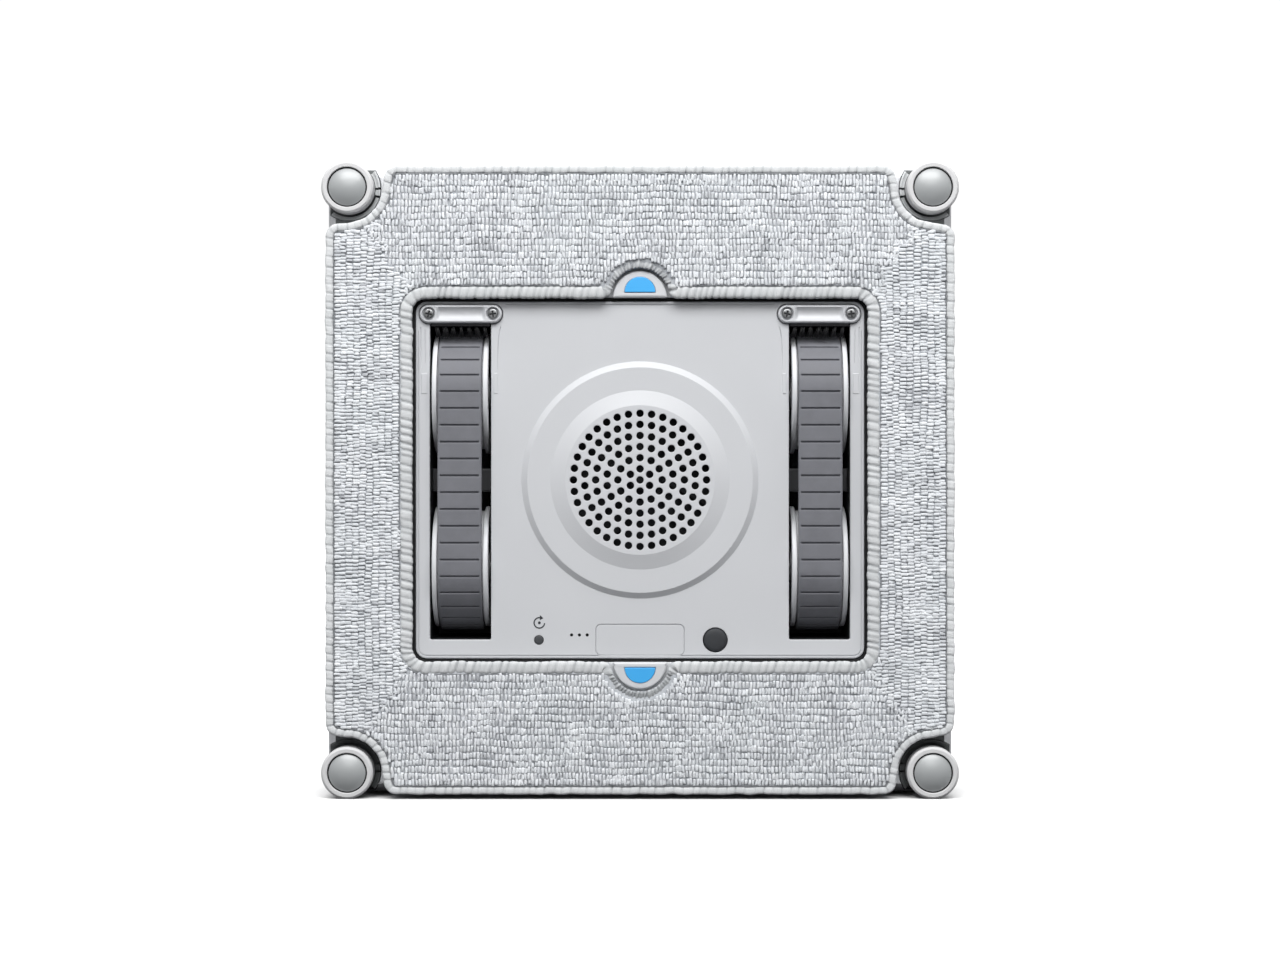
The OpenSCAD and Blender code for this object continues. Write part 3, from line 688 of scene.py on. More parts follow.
def track_opening(side, gap=0.45):
    """Track slot joined with the recess that the bracket lies in."""
    hx, hv = BR_HX + gap, BR_HV + gap
    low = BR_V - hv
    right = arc(BR_X + hx - hv, BR_V, hv, -90, 90, 18)
    left = arc(BR_X - hx + hv, BR_V, hv, 90, 270, 18)
    run = fillet([(SLOT_X0, low), (SLOT_X0, -SLOT_V), (SLOT_X1, -SLOT_V), (SLOT_X1, low)], [0, 0.9, 0.9, 0], 5, closed=False)
    pts = right + left + run
    return ccw([(side * x, y) for x, y in pts])


def hole_prof(w0, w1, r, seg=3):
    return [(-r * (1 - math.sin(t)), w0 + r * (1 - math.cos(t))) for t in (i / seg * math.pi / 2 for i in range(seg + 1))] + [(0, w1)]


def band(line, widths):
    """Closed outline round an open centre line, with a width at each of its points."""
    p = np.asarray(line, float)
    d = np.gradient(p, axis=0)
    d /= np.linalg.norm(d, axis=1)[:, None]
    n = np.stack([-d[:, 1], d[:, 0]], 1)
    w = np.asarray(widths, float)[: len(p), None] / 2
    return ccw([tuple(q) for q in p + n * w] + [tuple(q) for q in (p - n * w)[::-1]])


panel = Shape()
outer = rr(96.3, 76.6, 4.8, 12)
N_BOSS = 192
boss_foot, boss_back = circle(0, 0, 51.9, N_BOSS), circle(0, 0, 44, N_BOSS)
open_holes = [
    (track_opening(1), [(-0.27, 6.20), (-0.13, 6.24), (-0.03, 6.35), (0, 6.48), (0, W_FLOOR)]),
    (track_opening(-1), [(-0.27, 6.20), (-0.13, 6.24), (-0.03, 6.35), (0, 6.48), (0, W_FLOOR)]),
    (circle(-43.4, -68.7, 2.1, 32), hole_prof(W_PANEL, W_FLOOR, 0.15)),
    (circle(32.3, -68.7, 5.35, 48), hole_prof(W_PANEL, W_FLOOR, 0.25)),
]
sound_holes = [circle(x, -66.5, 0.68, 20) for x in (-29.35, -26.0, -22.65)]
plate_edge = rr(19.1, 6.75, 2.4, 8, cy=-68.6)
# fine grooves beside the slots, running out downwards, and a small raised pad at the end of each pair
grooves, pads = [], []
for s_ in (1, -1):
    line = [(94.0, 65.7), (93.98, 64.0), (93.95, 61.0), (93.95, 57.0), (93.95, 52.0), (93.95, 47.4)]
    grooves.append(band([(s_ * x, y) for x, y in line], [0.50, 0.56, 0.54, 0.50, 0.40, 0.16]))
    line = [(59.75, 65.7), (60.3, 64.0), (60.75, 61.0), (60.95, 56.0), (61.1, 51.0), (61.15, 47.4)]
    grooves.append(band([(s_ * x, y) for x, y in line], [0.36, 0.40, 0.38, 0.36, 0.30, 0.14]))
    line = [(92.25, 64.8), (92.2, 61.0), (92.15, 56.0), (92.1, 50.0)]
    grooves.append(band([(s_ * x, y) for x, y in line], [0.22, 0.26, 0.24, 0.12]))
    pads.append(ccw(rr(1.25, 4.4, 0.35, 5, cx=s_ * 92.6, cy=41.4)))
    pads.append(ccw(rr(0.80, 4.4, 0.35, 5, cx=s_ * 61.95, cy=41.4)))
groove_deep = lambda q: W_PANEL + 0.42 * min(1.0, max(0.10, (q[1] - 46.0) / 14.0))
# a fine groove inside the edge: along the sides and the bottom, and between the brackets at the top
rims = [
    band([(-95.0, 64.0)] + [(-95.0, v) for v in np.linspace(50, -71.6, 12)] + arc(-91.5, -71.8, 3.5, 180, 270, 8)
         + [(x, -75.3) for x in np.linspace(-85, 85, 18)] + arc(91.5, -71.8, 3.5, 270, 360, 8) + [(95.0, v) for v in np.linspace(-71.6, 50, 12)] + [(95.0, 64.0)],
         [0.2] + [0.5] * 60 + [0.2]),
    band([(-57.5, 75.2)] + [(x, 75.2) for x in np.linspace(-50, 50, 12)] + [(57.5, 75.2)], [0.2] + [0.62] * 12 + [0.2]),
]
face_loops = [offset(outer, 0.62), boss_foot, offset(plate_edge, -0.16)]
face_loops += [offset(h, prof[0][0]) for h, prof in open_holes] + sound_holes + grooves + pads + rims
panel.fill(face_loops, W_PANEL)
panel.wall(outer, [(0.62, 6.20), (0.40, 6.22), (0.20, 6.34), (0.06, 6.55), (0.0, 6.90), (0, W_FLOOR)])
for h, prof in open_holes:
    panel.wall(h, prof)
# the sound holes end in the dark well finish, painted shade
for h in sound_holes:
    panel.wall(ccw(h), [(0, W_PANEL), (0, 7.6)], mat=1)
    panel.fill([h], 7.6, mat=1)
for g in grooves:
    foot = offset(g, 0.07)
    panel.rings([[on_w(q, W_PANEL) for q in g], [on_w(q, groove_deep(q)) for q in foot]])
    panel.fill([foot], groove_deep)
for g in rims:
    panel.rings([[on_w(q, W_PANEL) for q in g], [on_w(q, W_PANEL + 0.42) for q in offset(g, 0.08)]])
    panel.fill([offset(g, 0.08)], W_PANEL + 0.42)
for g in pads:
    panel.wall(g, [(0, 6.20), (0.03, 6.04), (0.14, 5.96), (0.28, 5.94)])
    panel.fill([offset(g, 0.28)], 5.94)
panel.fill([outer, boss_back] + [h for h, prof in open_holes], W_FLOOR, back=True)
# bare rounded plate: a fine groove with its middle a touch lower
panel.wall(plate_edge, [(-0.16, 6.20), (-0.04, 6.30), (0.0, 6.75), (0.26, 6.75), (0.30, 6.36), (0.42, 6.26)])
panel.fill([offset(plate_edge, 0.42)], 6.26)
# raised boss with a sloped edge, cone and grille disc
boss = fillet([(51.9, 6.2), (50.85, 6.2), (48.35, 4.6), (38.4, 4.6), (32.0, W_GRILLE), (31.0, W_GRILLE)], [0, 0.5, 0.7, 0.9, 0.9, 0], 6, closed=False)
panel.lathe(boss, n=N_BOSS)
grille = [circle(0, 0, 1.6, 24)]
for n in range(1, 7):
    for i in range(6 * n):
        a = math.radians(90 + i * 60 / n)
        grille.append(circle(n * 4.75 * math.cos(a), n * 4.75 * math.sin(a), 1.6, 24))
panel.fill([circle(0, 0, 31.0, N_BOSS)] + [offset(h, -0.22) for h in grille], W_GRILLE)
for h in grille:
    panel.wall(h, hole_prof(W_GRILLE, 4.6, 0.22))
panel.fill([circle(0, 0, 30.6, N_BOSS)] + grille, 4.6, back=True)
panel.lathe([(30.6, 4.6), (36.5, 6.8), (44, 6.8), (44, W_FLOOR)], n=N_BOSS)
build(panel, "underside_panel_moulding", [M["panel"], M["well"]], replaces="underside_panel")

seal = Shape()
seal.plate(rr(97.88, 78.18, 5.6, 10), [rr(96.32, 76.62, 4.8, 10)], 7.3, 9.0, 0.7, 0.0)
build(seal, "panel_seal_lip", M["seal"], replaces="panel_seal")

# printed reset sign: an open ring with an arrow head round a dot
sign = Shape()
SIGN_X, SIGN_V = -43.2, -61.3
sign.plate(arc(SIGN_X, SIGN_V, 2.52, 78, 357, 44) + arc(SIGN_X, SIGN_V, 1.96, 357, 78, 44), [], 6.12, 6.24, 0, 0)
sign.plate([(SIGN_X + 0.25, SIGN_V + 3.35), (SIGN_X + 0.25, SIGN_V + 1.15), (SIGN_X + 1.75, SIGN_V + 2.0)], [], 6.12, 6.24, 0, 0)
sign.plate(circle(SIGN_X, SIGN_V, 0.62, 24), [], 6.12, 6.24, 0, 0)
build(sign, "reset_sign", M["ink"], flat_normals=False)

pin = Shape()
pin.lathe(fillet([(0, 6.25), (1.95, 6.25), (1.95, 13), (3.4, 13), (3.4, 14.5), (0, 14.5)], [0, 0.45, 0, 0.2, 0.2, 0], 4, closed=False), -43.4, -68.7, 40)
build(pin, "reset_pin_moulding", M["pin"], body="reset_pin", replaces="reset_button")
cap = Shape()
cap.lathe([(0, 5.30), (1.2, 5.31), (2.4, 5.36), (3.4, 5.47), (4.1, 5.63), (4.6, 5.86), (4.92, 6.16), (5.08, 6.55), (5.1, 7.0),
           (5.1, 13), (7, 13), (7, 14.5), (0, 14.5)], 32.3, -68.7, 64)
build(cap, "power_rubber_cap", M["switch"], body="power_cap", replaces="power_button")

# ---------------------------------------------------------------- pad frame, tabs and inlays

pad = Shape()
pad.plate(ring_outline(133.0, 16.1), [rr(97.9, 78.2, 5.6, 10)], 5.6, 9.0, 0.5, 0.3)
build(pad, "pad_frame_moulding", M["tab"], replaces="pad_frame")


def half_disc(r, s, n=36, v0=0.0):
    """Half disc with its straight side at height v0 and its round side away from the middle."""
    if s > 0:
        return [(x, y + v0) for x, y in arc(0, 0, r, 0, 180, n)]
    return [(x, -v0 + y) for x, y in arc(0, 0, r, 180, 360, n)]


for s, label in ((1, "upper"), (-1, "lower")):
    tab = Shape()
    ring = ccw(fillet(half_disc(11.6, s, 40, 78.0), [1.0] + [0] * 39 + [1.0], 4))
    seat = ccw(fillet(half_disc(6.8, s, 30, 80.1), [0.5] + [0] * 29 + [0.5], 4))
    tab.wall(ring, [(0.9 * (1 - math.sin(t)), 3.0 + 0.9 * (1 - math.cos(t))) for t in np.linspace(0, math.pi / 2, 5)] + [(0, 5.7)])
    tab.fill([offset(ring, 0.9), offset(seat, -0.25)], 3.0)
    tab.wall(seat, hole_prof(3.0, 3.7, 0.25))
    tab.fill([seat], 3.7)
    tab.fill([ring], 5.7, back=True)
    build(tab, f"{label}_thumb_tab", M["tab"])
    inlay = Shape()
    inlay.plate(fillet(half_disc(6.55, s, 30, 80.35), [0.45] + [0] * 29 + [0.45], 4), [], 2.72, 3.65, 0.22, 0)
    build(inlay, f"{label}_tab_inlay", M["blue"], replaces="tab_inlays")

# ---------------------------------------------------------------- cleaning cloth

CLOTH_E, CLOTH_RN = 134.2, 15.5
edge = ccw(ring_outline(CLOTH_E, CLOTH_RN))


def opening_loop(grow=0.0):
    """The cloth's opening with its two round bites, grown into the cloth."""
    hx, hv, r = 97.2 + grow, 77.5 + grow, 5.5 + grow
    rb = 12.4 + grow
    dv = (hv - 77.9)
    x = math.sqrt(max(rb * rb - dv * dv, 0))
    a = math.degrees(math.atan2(dv, x))
    top = arc(0, 77.9, rb, a, 180 - a, 40)
    right = arc(hx - r, hv - r, r, 0, 90, 10)
    left = arc(-hx + r, hv - r, r, 90, 180, 10)
    half = right + top + left
    return ccw(half + [(-p[0], -p[1]) for p in half])


def sweep_hem(name, centre, half_a, half_b, w_mid, breaks, seed, depth=0.25, crease=0.55, even=0.5, slant=0.3, sides=14, grow=0.10, fine=0.0, rolled=None):
    """A bound hem: a rounded section swept along a closed line and creased at each thread. breaks are
    the arc lengths of the threads; the creases are deepest on the stitched side (negative half_a
    direction when even is below 1) and fade towards the fold."""
    p, s, total = centre
    t = np.roll(p, -1, 0) - np.roll(p, 1, 0)
    t /= np.linalg.norm(t, axis=1)[:, None]
    side = np.stack([t[:, 1], -t[:, 0]], 1)
    a = np.linspace(0, 2 * math.pi, sides, endpoint=False)
    ca, sa = np.cos(a), np.sin(a)
    sup = 0.62
    ea, eb = np.sign(ca) * np.abs(ca) ** sup, np.sign(sa) * np.abs(sa) ** sup
    S = s[:, None] + slant * ea[None, :]
    br = np.sort(np.concatenate([breaks - total, breaks, breaks + total]))
    i = np.searchsorted(br, S)
    lo, hi = br[i - 1], br[np.minimum(i, len(br) - 1)]
    r = np.random.default_rng(seed)
    each = r.uniform(0, 1, len(br))
    cut = r.uniform(0.35, 1.0, len(br))
    near_lo = S - lo < hi - S
    d = np.minimum(S - lo, hi - S)
    strength = np.where(near_lo, cut[i - 1], cut[np.minimum(i, len(br) - 1)])
    nip = np.exp(-((d / crease) ** 2)) * strength
    stitched = (0.5 - 0.5 * ea)[None, :]
    nip = nip * (even + (1 - even) * stitched)
    if fine:
        nip = nip + fine * (0.5 + 0.5 * np.sin(S * 2 * math.pi / 0.93 + 2.1 * waves(p[:, 0], p[:, 1], seed + 3, 5.0)[:, None])) * stitched
    level = each[i - 1]
    puff = np.sin(np.pi * np.clip((S - lo) / (hi - lo), 0, 1)) ** 0.5
    scale = 1 - depth * nip + grow * (level - 0.4) * puff
    roll = np.zeros(len(p)) if rolled is None else rolled
    scale = scale * (1 - 0.12 * roll[:, None]) * (1 + 0.9 * roll[:, None] * (0.25 - 0.55 * nip))
    wob = 0.14 * waves(p[:, 0], p[:, 1], seed + 5, 9.0)
    out = np.zeros((len(p), sides, 3))
    off = half_a * ea[None, :] * (1 - 0.35 * depth * nip)
    up = half_b * eb[None, :] * scale
    out[:, :, 0] = p[:, 0, None] + side[:, 0, None] * (off + wob[:, None])
    out[:, :, 2] = p[:, 1, None] + side[:, 1, None] * (off + wob[:, None])
    # where it is rolled, the free side lies further back than the stitched one
    out[:, :, 1] = w_mid + 0.55 * roll[:, None] + 0.95 * roll[:, None] * (ea[None, :] + 0.1) - up
    n = len(p)
    ii, jj = np.meshgrid(np.arange(n), np.arange(sides), indexing="ij")
    q = np.stack([ii * sides + jj, ii * sides + (jj + 1) % sides, ((ii + 1) % n) * sides + (jj + 1) % sides, ((ii + 1) % n) * sides + jj], -1)
    # colour per point: a random tone per puff, darkened in the creases and on the rolled bites as painted shade
    tint = -0.34 * roll[:, None] + np.clip(0.80 + 0.16 * (level - 0.5) - 0.62 * nip + 0.05 * r.standard_normal(nip.shape), 0, 1)
    o = fast_mesh(name, out.reshape(-1, 3), quads=q.reshape(-1, 4)[:, ::-1], tint=np.clip(tint, 0, 1).ravel())
    return o


def thread_breaks(total, lo, hi, seed):
    r = np.random.default_rng(seed)
    out, s = [], 0.0
    while s < total - lo * 0.6:
        out.append(s)
        s += r.uniform(lo, hi)
    return np.array(out) * (total / s)


def tube(name, p, w, r, sides=6, wave=0.0):
    t = np.roll(p, -1, 0) - np.roll(p, 1, 0)
    t /= np.linalg.norm(t, axis=1)[:, None]
    side = np.stack([t[:, 1], -t[:, 0]], 1)
    a = np.linspace(0, 2 * math.pi, sides, endpoint=False)
    out = np.zeros((len(p), sides, 3))
    out[:, :, 0] = p[:, 0, None] + side[:, 0, None] * r * np.cos(a)
    out[:, :, 2] = p[:, 1, None] + side[:, 1, None] * r * np.cos(a)
    dip = wave * (0.5 + 0.5 * np.sin(np.arange(len(p)) * 2 * math.pi / 7.0))
    out[:, :, 1] = np.reshape(w, (-1, 1)) + dip[:, None] - r * np.sin(a)
    n = len(p)
    ii, jj = np.meshgrid(np.arange(n), np.arange(sides), indexing="ij")
    q = np.stack([ii * sides + jj, ii * sides + (jj + 1) % sides, ((ii + 1) % n) * sides + (jj + 1) % sides, ((ii + 1) % n) * sides + jj], -1)
    return fast_mesh(name, out.reshape(-1, 3), quads=q.reshape(-1, 4)[:, ::-1])


# outer hem, stitched on its inner side
HEM_OUT = 1.85
p, s, total = resample(offset(edge, 1.50), 0.30)
p = smooth_loop(p, 9)
outer_hem = sweep_hem("cloth_outer_hem", (p, s, total), HEM_OUT, 1.75, 2.55, thread_breaks(total, 2.7, 4.6, 3), 11, depth=0.26, crease=0.45, even=0.6, slant=0.25, grow=0.08, fine=0.22)
dress(outer_hem, M["hem_outer"], "root")
q, _, _ = resample(offset(edge, 3.42), 0.4)
outer_stitch = tube("cloth_outer_stitch", smooth_loop(q, 9), 1.0, 0.27, wave=0.15)
dress(outer_stitch, M["thread"], "root")

# inner hem, wider and rounder; the round bites are gathered more finely and lie flatter
HEM_IN = 2.75
p, s, total = resample(opening_loop(HEM_IN), 0.30)
p = smooth_loop(p, 15)
round_part = (np.abs(p[:, 0]) < 14.6) & (np.abs(p[:, 1]) > 79.6)
breaks, at = [], 0.0
jitter = np.random.default_rng(8)
while at < total - 1.2:
    breaks.append(at)
    k = min(len(p) - 1, int(at / total * len(p)))
    at += jitter.uniform(1.3, 2.3) if round_part[k] else jitter.uniform(2.3, 4.2)
breaks = np.array(breaks) * (total / at)
rolled = np.convolve(np.concatenate([round_part[-8:], round_part, round_part[:8]]).astype(float), np.ones(17) / 17, "valid")
inner_hem = sweep_hem("cloth_inner_hem", (p, s, total), HEM_IN, 1.75, 2.55, breaks, 23, depth=0.36, crease=0.62, even=0.85, slant=0.6, grow=0.18, fine=0.12, rolled=rolled)
dress(inner_hem, M["hem"], "root")
q, _, _ = resample(opening_loop(5.6), 0.4)
q = smooth_loop(q, 13)
sunk = np.where((np.abs(q[:, 0]) < 17.5) & (np.abs(q[:, 1]) > 82.5), 1.3, 0.0)
inner_stitch = tube("cloth_inner_stitch", q, 1.05 + sunk, 0.22, wave=0.15)
dress(inner_stitch, M["thread"], "root")


# the knitted backing, gently uneven, from hem to hem
def polar_radius(loop, angles):
    l = np.asarray(loop, float)
    a = np.unwrap(np.arctan2(l[:, 1], l[:, 0]))
    r = np.hypot(l[:, 0], l[:, 1])
    o = np.argsort(a)
    a, r = a[o], r[o]
    a3, r3 = np.concatenate([a - 2 * math.pi, a, a + 2 * math.pi]), np.tile(r, 3)
    return np.interp(angles, a3, r3)


NA, NR = 960, 22
ang = np.linspace(-math.pi, math.pi, NA, endpoint=False)
dense_in, _, _ = resample(opening_loop(0.7), 0.5)
dense_out, _, _ = resample(offset(edge, 0.7), 0.5)
r_in, r_out = polar_radius(dense_in, ang), polar_radius(dense_out, ang)
tt = np.linspace(0, 1, NR)
R = r_in[:, None] * (1 - tt) + r_out[:, None] * tt
X, V = R * np.cos(ang)[:, None], R * np.sin(ang)[:, None]
front_w = 1.42 + 0.08 * waves(X, V, 31, 26) + 0.05 * waves(X, V, 32, 9)
back_w = np.full_like(front_w, 4.78)
edge_drop = np.zeros(NR)
edge_drop[0] = edge_drop[-1] = 1.5
edge_drop[1] = edge_drop[-2] = 0.5
front_w = front_w + edge_drop[None, :]
verts = np.concatenate([np.stack([X, front_w, V], -1).reshape(-1, 3), np.stack([X, back_w, V], -1).reshape(-1, 3)])
ii, jj = np.meshgrid(np.arange(NA), np.arange(NR - 1), indexing="ij")
base = NA * NR
fq = np.stack([ii * NR + jj, ii * NR + jj + 1, ((ii + 1) % NA) * NR + jj + 1, ((ii + 1) % NA) * NR + jj], -1).reshape(-1, 4)
bq = fq[:, ::-1] + base
k = np.arange(NA)
k1 = (k + 1) % NA
side_in = np.stack([k * NR, k1 * NR, k1 * NR + base, k * NR + base], -1)
side_out = np.stack([k * NR + NR - 1, k * NR + NR - 1 + base, k1 * NR + NR - 1 + base, k1 * NR + NR - 1], -1)
backing = fast_mesh("cleaning_cloth_backing", verts, quads=np.concatenate([fq, bq, side_in, side_out]))
dress(backing, M["backing"], "root", "cleaning_cloth")


# the looped pile in columns and courses, upright on the two long strips and lying across on the sides
PITCH_A, PITCH_B = 1.46, 2.82


def pile_points():
    out = []
    for kind in (0, 1):
        na, nb = int(272 / PITCH_A), int(272 / PITCH_B)
        i, j = np.meshgrid(np.arange(na), np.arange(nb), indexing="ij")
        a = (i - na / 2) * PITCH_A
        b = (j - nb / 2) * PITCH_B
        a, b, i, j = a.ravel(), b.ravel(), i.ravel(), j.ravel()
        x, v = (a, b) if kind == 0 else (b, a)
        wa = 0.50 * waves(x, v, 41 + kind, 30) + 0.06 * rng.standard_normal(len(x))
        wb = 0.50 * waves(x, v, 43 + kind, 34) + 0.13 * rng.standard_normal(len(x))
        # neighbouring courses are out of step with each other
        step = np.cumsum(0.30 * rng.standard_normal(nb + 1)) + 0.22 * rng.standard_normal(nb + 1)
        wa = wa + (0.35 if kind == 0 else 1.0) * PITCH_A * step[j]
        dx, dv = (wa, wb) if kind == 0 else (wb, wa)
        s_, t_ = (np.abs(v) - 77.5) / 56.7, (np.abs(x) - 97.2) / 37.0
        lean = s_ - t_ + 0.07 * waves(x, v, 47, 14) + 0.03 * rng.standard_normal(len(x))
        keep = lean > -0.03 if kind == 0 else lean <= 0.03
        mixed = np.exp(-((s_ - t_) / 0.10) ** 2)
        th = (math.pi / 2 if kind == 0 else 0.0) + 0.06 * waves(x, v, 53, 12) + (0.035 + 0.18 * mixed) * rng.standard_normal(len(x))
        # courses open up in short runs
        gap = np.clip(waves(x + 3.0 * j, v + 3.0 * j, 57 + kind, 6.5) - 0.25, 0, 1.2)
        out.append(np.stack([x + dx, v + dv, th, mixed, gap], -1)[keep])
    return np.concatenate(out)


pts = pile_points()
limit_out, _, _ = resample(offset(edge, 3.62), 1.0)
limit_in, _, _ = resample(opening_loop(5.75), 1.0)
near_bite = (np.abs(pts[:, 0]) < 19) & (np.abs(pts[:, 1]) < 97)
ok = inside(pts[:, :2], offset(edge, 2.7)) & ~inside(pts[:, :2], opening_loop(4.6))
ok |= near_bite & ~inside(pts[:, :2], opening_loop(3.6)) & (np.abs(pts[:, 1]) > 82)
pts = pts[ok]
limit_bite, _, _ = resample(opening_loop(4.0), 1.0)
# loops that would cross a stitch line are moved back along their own direction
for _ in range(6):
    for end in (-1, 1):
        tip = pts[:, :2] + end * 1.30 * np.stack([np.cos(pts[:, 2]), np.sin(pts[:, 2])], 1)
        bite = (np.abs(tip[:, 0]) < 16) & (np.abs(tip[:, 1]) < 97) & (np.abs(tip[:, 1]) > 82)
        out_ = ~inside(tip, limit_out) | (inside(tip, limit_in) & ~bite) | (inside(tip, limit_bite) & bite)
        pts[out_, :2] -= end * 0.33 * np.stack([np.cos(pts[out_, 2]), np.sin(pts[out_, 2])], 1)
pts = pts[inside(pts[:, :2], limit_out) & ~inside(pts[:, :2], limit_bite)]

n_loop = len(pts)
gap = pts[:, 4]
length = 1.50 * (1 - 0.10 * gap) * np.clip(1 + 0.07 * rng.standard_normal(n_loop), 0.75, 1.15)
width = 0.70 * np.clip(1 + 0.09 * rng.standard_normal(n_loop), 0.72, 1.18)
top = 0.60 + 0.10 * waves(pts[:, 0], pts[:, 1], 61, 7) + 0.15 * rng.standard_normal(n_loop)
top = np.clip(0.62 + 0.75 * (top - 0.60), 0.30, 1.0)
lying = np.abs(np.cos(pts[:, 2])) > 0.7
soft = np.where(lying, 0.62, 1.0)
width = width * np.where(lying, 1.035, 1.0)
lean = 0.16 * rng.standard_normal(n_loop)
tilt = 0.06 * rng.standard_normal(n_loop)
bend = 0.13 * rng.standard_normal(n_loop)
# ends pinched and sunk deeper, which the tint below also darkens as painted shade, more often where the courses open up
dark_end = {s_: rng.random(n_loop) < 0.07 + 0.22 * gap for s_ in (-1, 1)}
tips = {s_: np.where(dark_end[s_], 0.30, 0.62 + 0.34 * rng.random(n_loop)) for s_ in (-1, 1)}
deep_end = {s_: np.where(dark_end[s_], 0.75, 0.16 + 0.16 * rng.random(n_loop)) for s_ in (-1, 1)}
ct, st = np.cos(pts[:, 2]), np.sin(pts[:, 2])
t_along = (-0.98, -0.82, -0.40, 0.40, 0.82, 0.98)
# across a loop: rounded, a little flattened on top
sec = [(-1.0, 0.58), (-0.84, 0.26), (-0.46, 0.05), (0.0, 0.0), (0.46, 0.05), (0.84, 0.26), (1.0, 0.58), (0.0, 1.0)]
SEC = len(sec)
rows = []
for k, ta in enumerate(t_along):
    s_ = -1 if ta < 0 else 1
    share = {0.98: 1.0, 0.82: 0.35, 0.40: 0.0}[abs(ta)]
    wide = 1 - share * (1 - tips[s_])
    for across, deep in sec:
        u = ta * length
        acr = across * wide * width + bend * (1 - ta ** 2)
        rows.append((u, acr, top + deep * (soft if deep < 0.9 else 1.0) * (0.7 + 0.3 * wide) + share * deep_end[s_] + lean * ta + tilt * across))
for end in (-1, 1):
    rows.append((end * length * 1.02, bend * 0, top + 1.30 + 0.1 * np.ones(n_loop)))
NV = len(rows)
U = np.stack([r_[0] for r_ in rows], 1)
A = np.stack([r_[1] for r_ in rows], 1)
Wd = np.stack([r_[2] for r_ in rows], 1)
PX = pts[:, 0, None] + U * ct[:, None] - A * st[:, None]
PV = pts[:, 1, None] + U * st[:, None] + A * ct[:, None]
loops_v = np.stack([PX, Wd, PV], -1)
quads_t = [(k * SEC + i, k * SEC + (i + 1) % SEC, (k + 1) * SEC + (i + 1) % SEC, (k + 1) * SEC + i) for k in range(5) for i in range(SEC)]
tris_t = [(NV - 2, (i + 1) % SEC, i) for i in range(SEC)] + [(NV - 1, 5 * SEC + i, 5 * SEC + (i + 1) % SEC) for i in range(SEC)]
quads_t, tris_t = np.array(quads_t)[:, ::-1], np.array(tris_t)[:, ::-1]
tint = np.clip(0.62 + 0.13 * rng.standard_normal(n_loop) + 0.10 * waves(pts[:, 0], pts[:, 1], 71, 18), 0, 1)
# painted shade: darker down the sides and the bottom of each loop, and much darker at some ends of a loop where the
# courses open up
shade_t = np.array([{0.0: 0.05, 0.46: 0.0, 0.84: -0.12, 1.0: -0.30}[abs(a_)] if d_ < 0.9 else -0.3 for _k in range(6) for a_, d_ in sec] + [-0.3, -0.3])
shade = np.tile(shade_t, (n_loop, 1))
shade[:, :SEC] -= np.where(dark_end[-1], 0.75, 0.06)[:, None]
shade[:, 5 * SEC:6 * SEC] -= np.where(dark_end[1], 0.75, 0.06)[:, None]
shade[:, -2] -= np.where(dark_end[-1], 0.75, 0.1)
shade[:, -1] -= np.where(dark_end[1], 0.75, 0.1)
# sorted round the ring into pieces of a modest size
order = np.argsort(np.arctan2(pts[:, 1], pts[:, 0]))
N_STRIPS = 12
for k, idx in enumerate(np.array_split(order, N_STRIPS)):
    m_ = len(idx)
    vv = loops_v[idx].reshape(-1, 3)
    off = (np.arange(m_) * NV)[:, None, None]
    o = fast_mesh(
        f"cloth_pile_{k + 1:02d}", vv,
        quads=(quads_t[None] + off).reshape(-1, 4), tris=(tris_t[None] + off).reshape(-1, 3),
        tint=np.clip(tint[idx][:, None] + shade[idx], 0, 1).ravel(),
    )
    dress(o, M["pile"], "root")

# ---------------------------------------------------------------- tracks

TRACK_X, WHEEL_V, WHEEL_W, BELT_R = 77.1, 37.7, 27.5, 27.5


def belt_line(d, r):
    """Point and outward direction (w, v) at length d along the belt's outer face."""
    l, h = 2 * WHEEL_V, math.pi * r
    if d < l:
        return (-r, d - WHEEL_V), math.pi
    if d < l + h:
        a = math.pi - (d - l) / r
        return (r * math.cos(a), WHEEL_V + r * math.sin(a)), a
    if d < 2 * l + h:
        return (r, WHEEL_V - (d - l - h)), 0.0
    a = -(d - 2 * l - h) / r
    return (r * math.cos(a), -WHEEL_V + r * math.sin(a)), a


def belt(side):
    total = 4 * WHEEL_V + 2 * math.pi * BELT_R
    pitch = total / 45
    cuts = [(-0.62, 0.0), (-0.50, 0.05), (-0.40, 0.22), (-0.33, 0.62), (-0.20, 0.84), (0.0, 0.90), (0.20, 0.84), (0.33, 0.62), (0.40, 0.22), (0.50, 0.05), (0.62, 0.0)]
    stations = []
    for i in range(45):
        c = (i + 0.5) * pitch
        stations += [((c + o) % total, g) for o, g in cuts]
        stations += [((c + pitch * f) % total, 0.0) for f in (0.22, 0.36, 0.5, 0.64, 0.78)]
    stations.sort()
    half = 9.4
    # across the belt: (x, depth, share of the groove)
    sect = [(-half, 2.9, 0), (-half, 0.75, 0), (-half + 0.08, 0.35, 0), (-half + 0.3, 0.10, 0), (-half + 0.7, 0.0, 0), (-half + 1.05, 0, 0.12),
            (-half + 1.3, 0, 0.9), (-half + 1.6, 0, 1), (-3, 0, 1), (3, 0, 1), (half - 1.6, 0, 1), (half - 1.3, 0, 0.9), (half - 1.05, 0, 0.12),
            (half - 0.7, 0, 0), (half - 0.3, 0.10, 0), (half - 0.08, 0.35, 0), (half, 0.75, 0), (half, 2.9, 0)]
    shape = Shape()
    rings = []
    for d, g in stations:
        (pw, pv), a = belt_line(d, BELT_R)
        nw, nv = math.cos(a), math.sin(a)
        rings.append([(side * TRACK_X + x, WHEEL_W + pw - nw * (dep + g * share), pv - nv * (dep + g * share)) for x, dep, share in sect])
    shape.rings(rings, loop=True)
    return shape


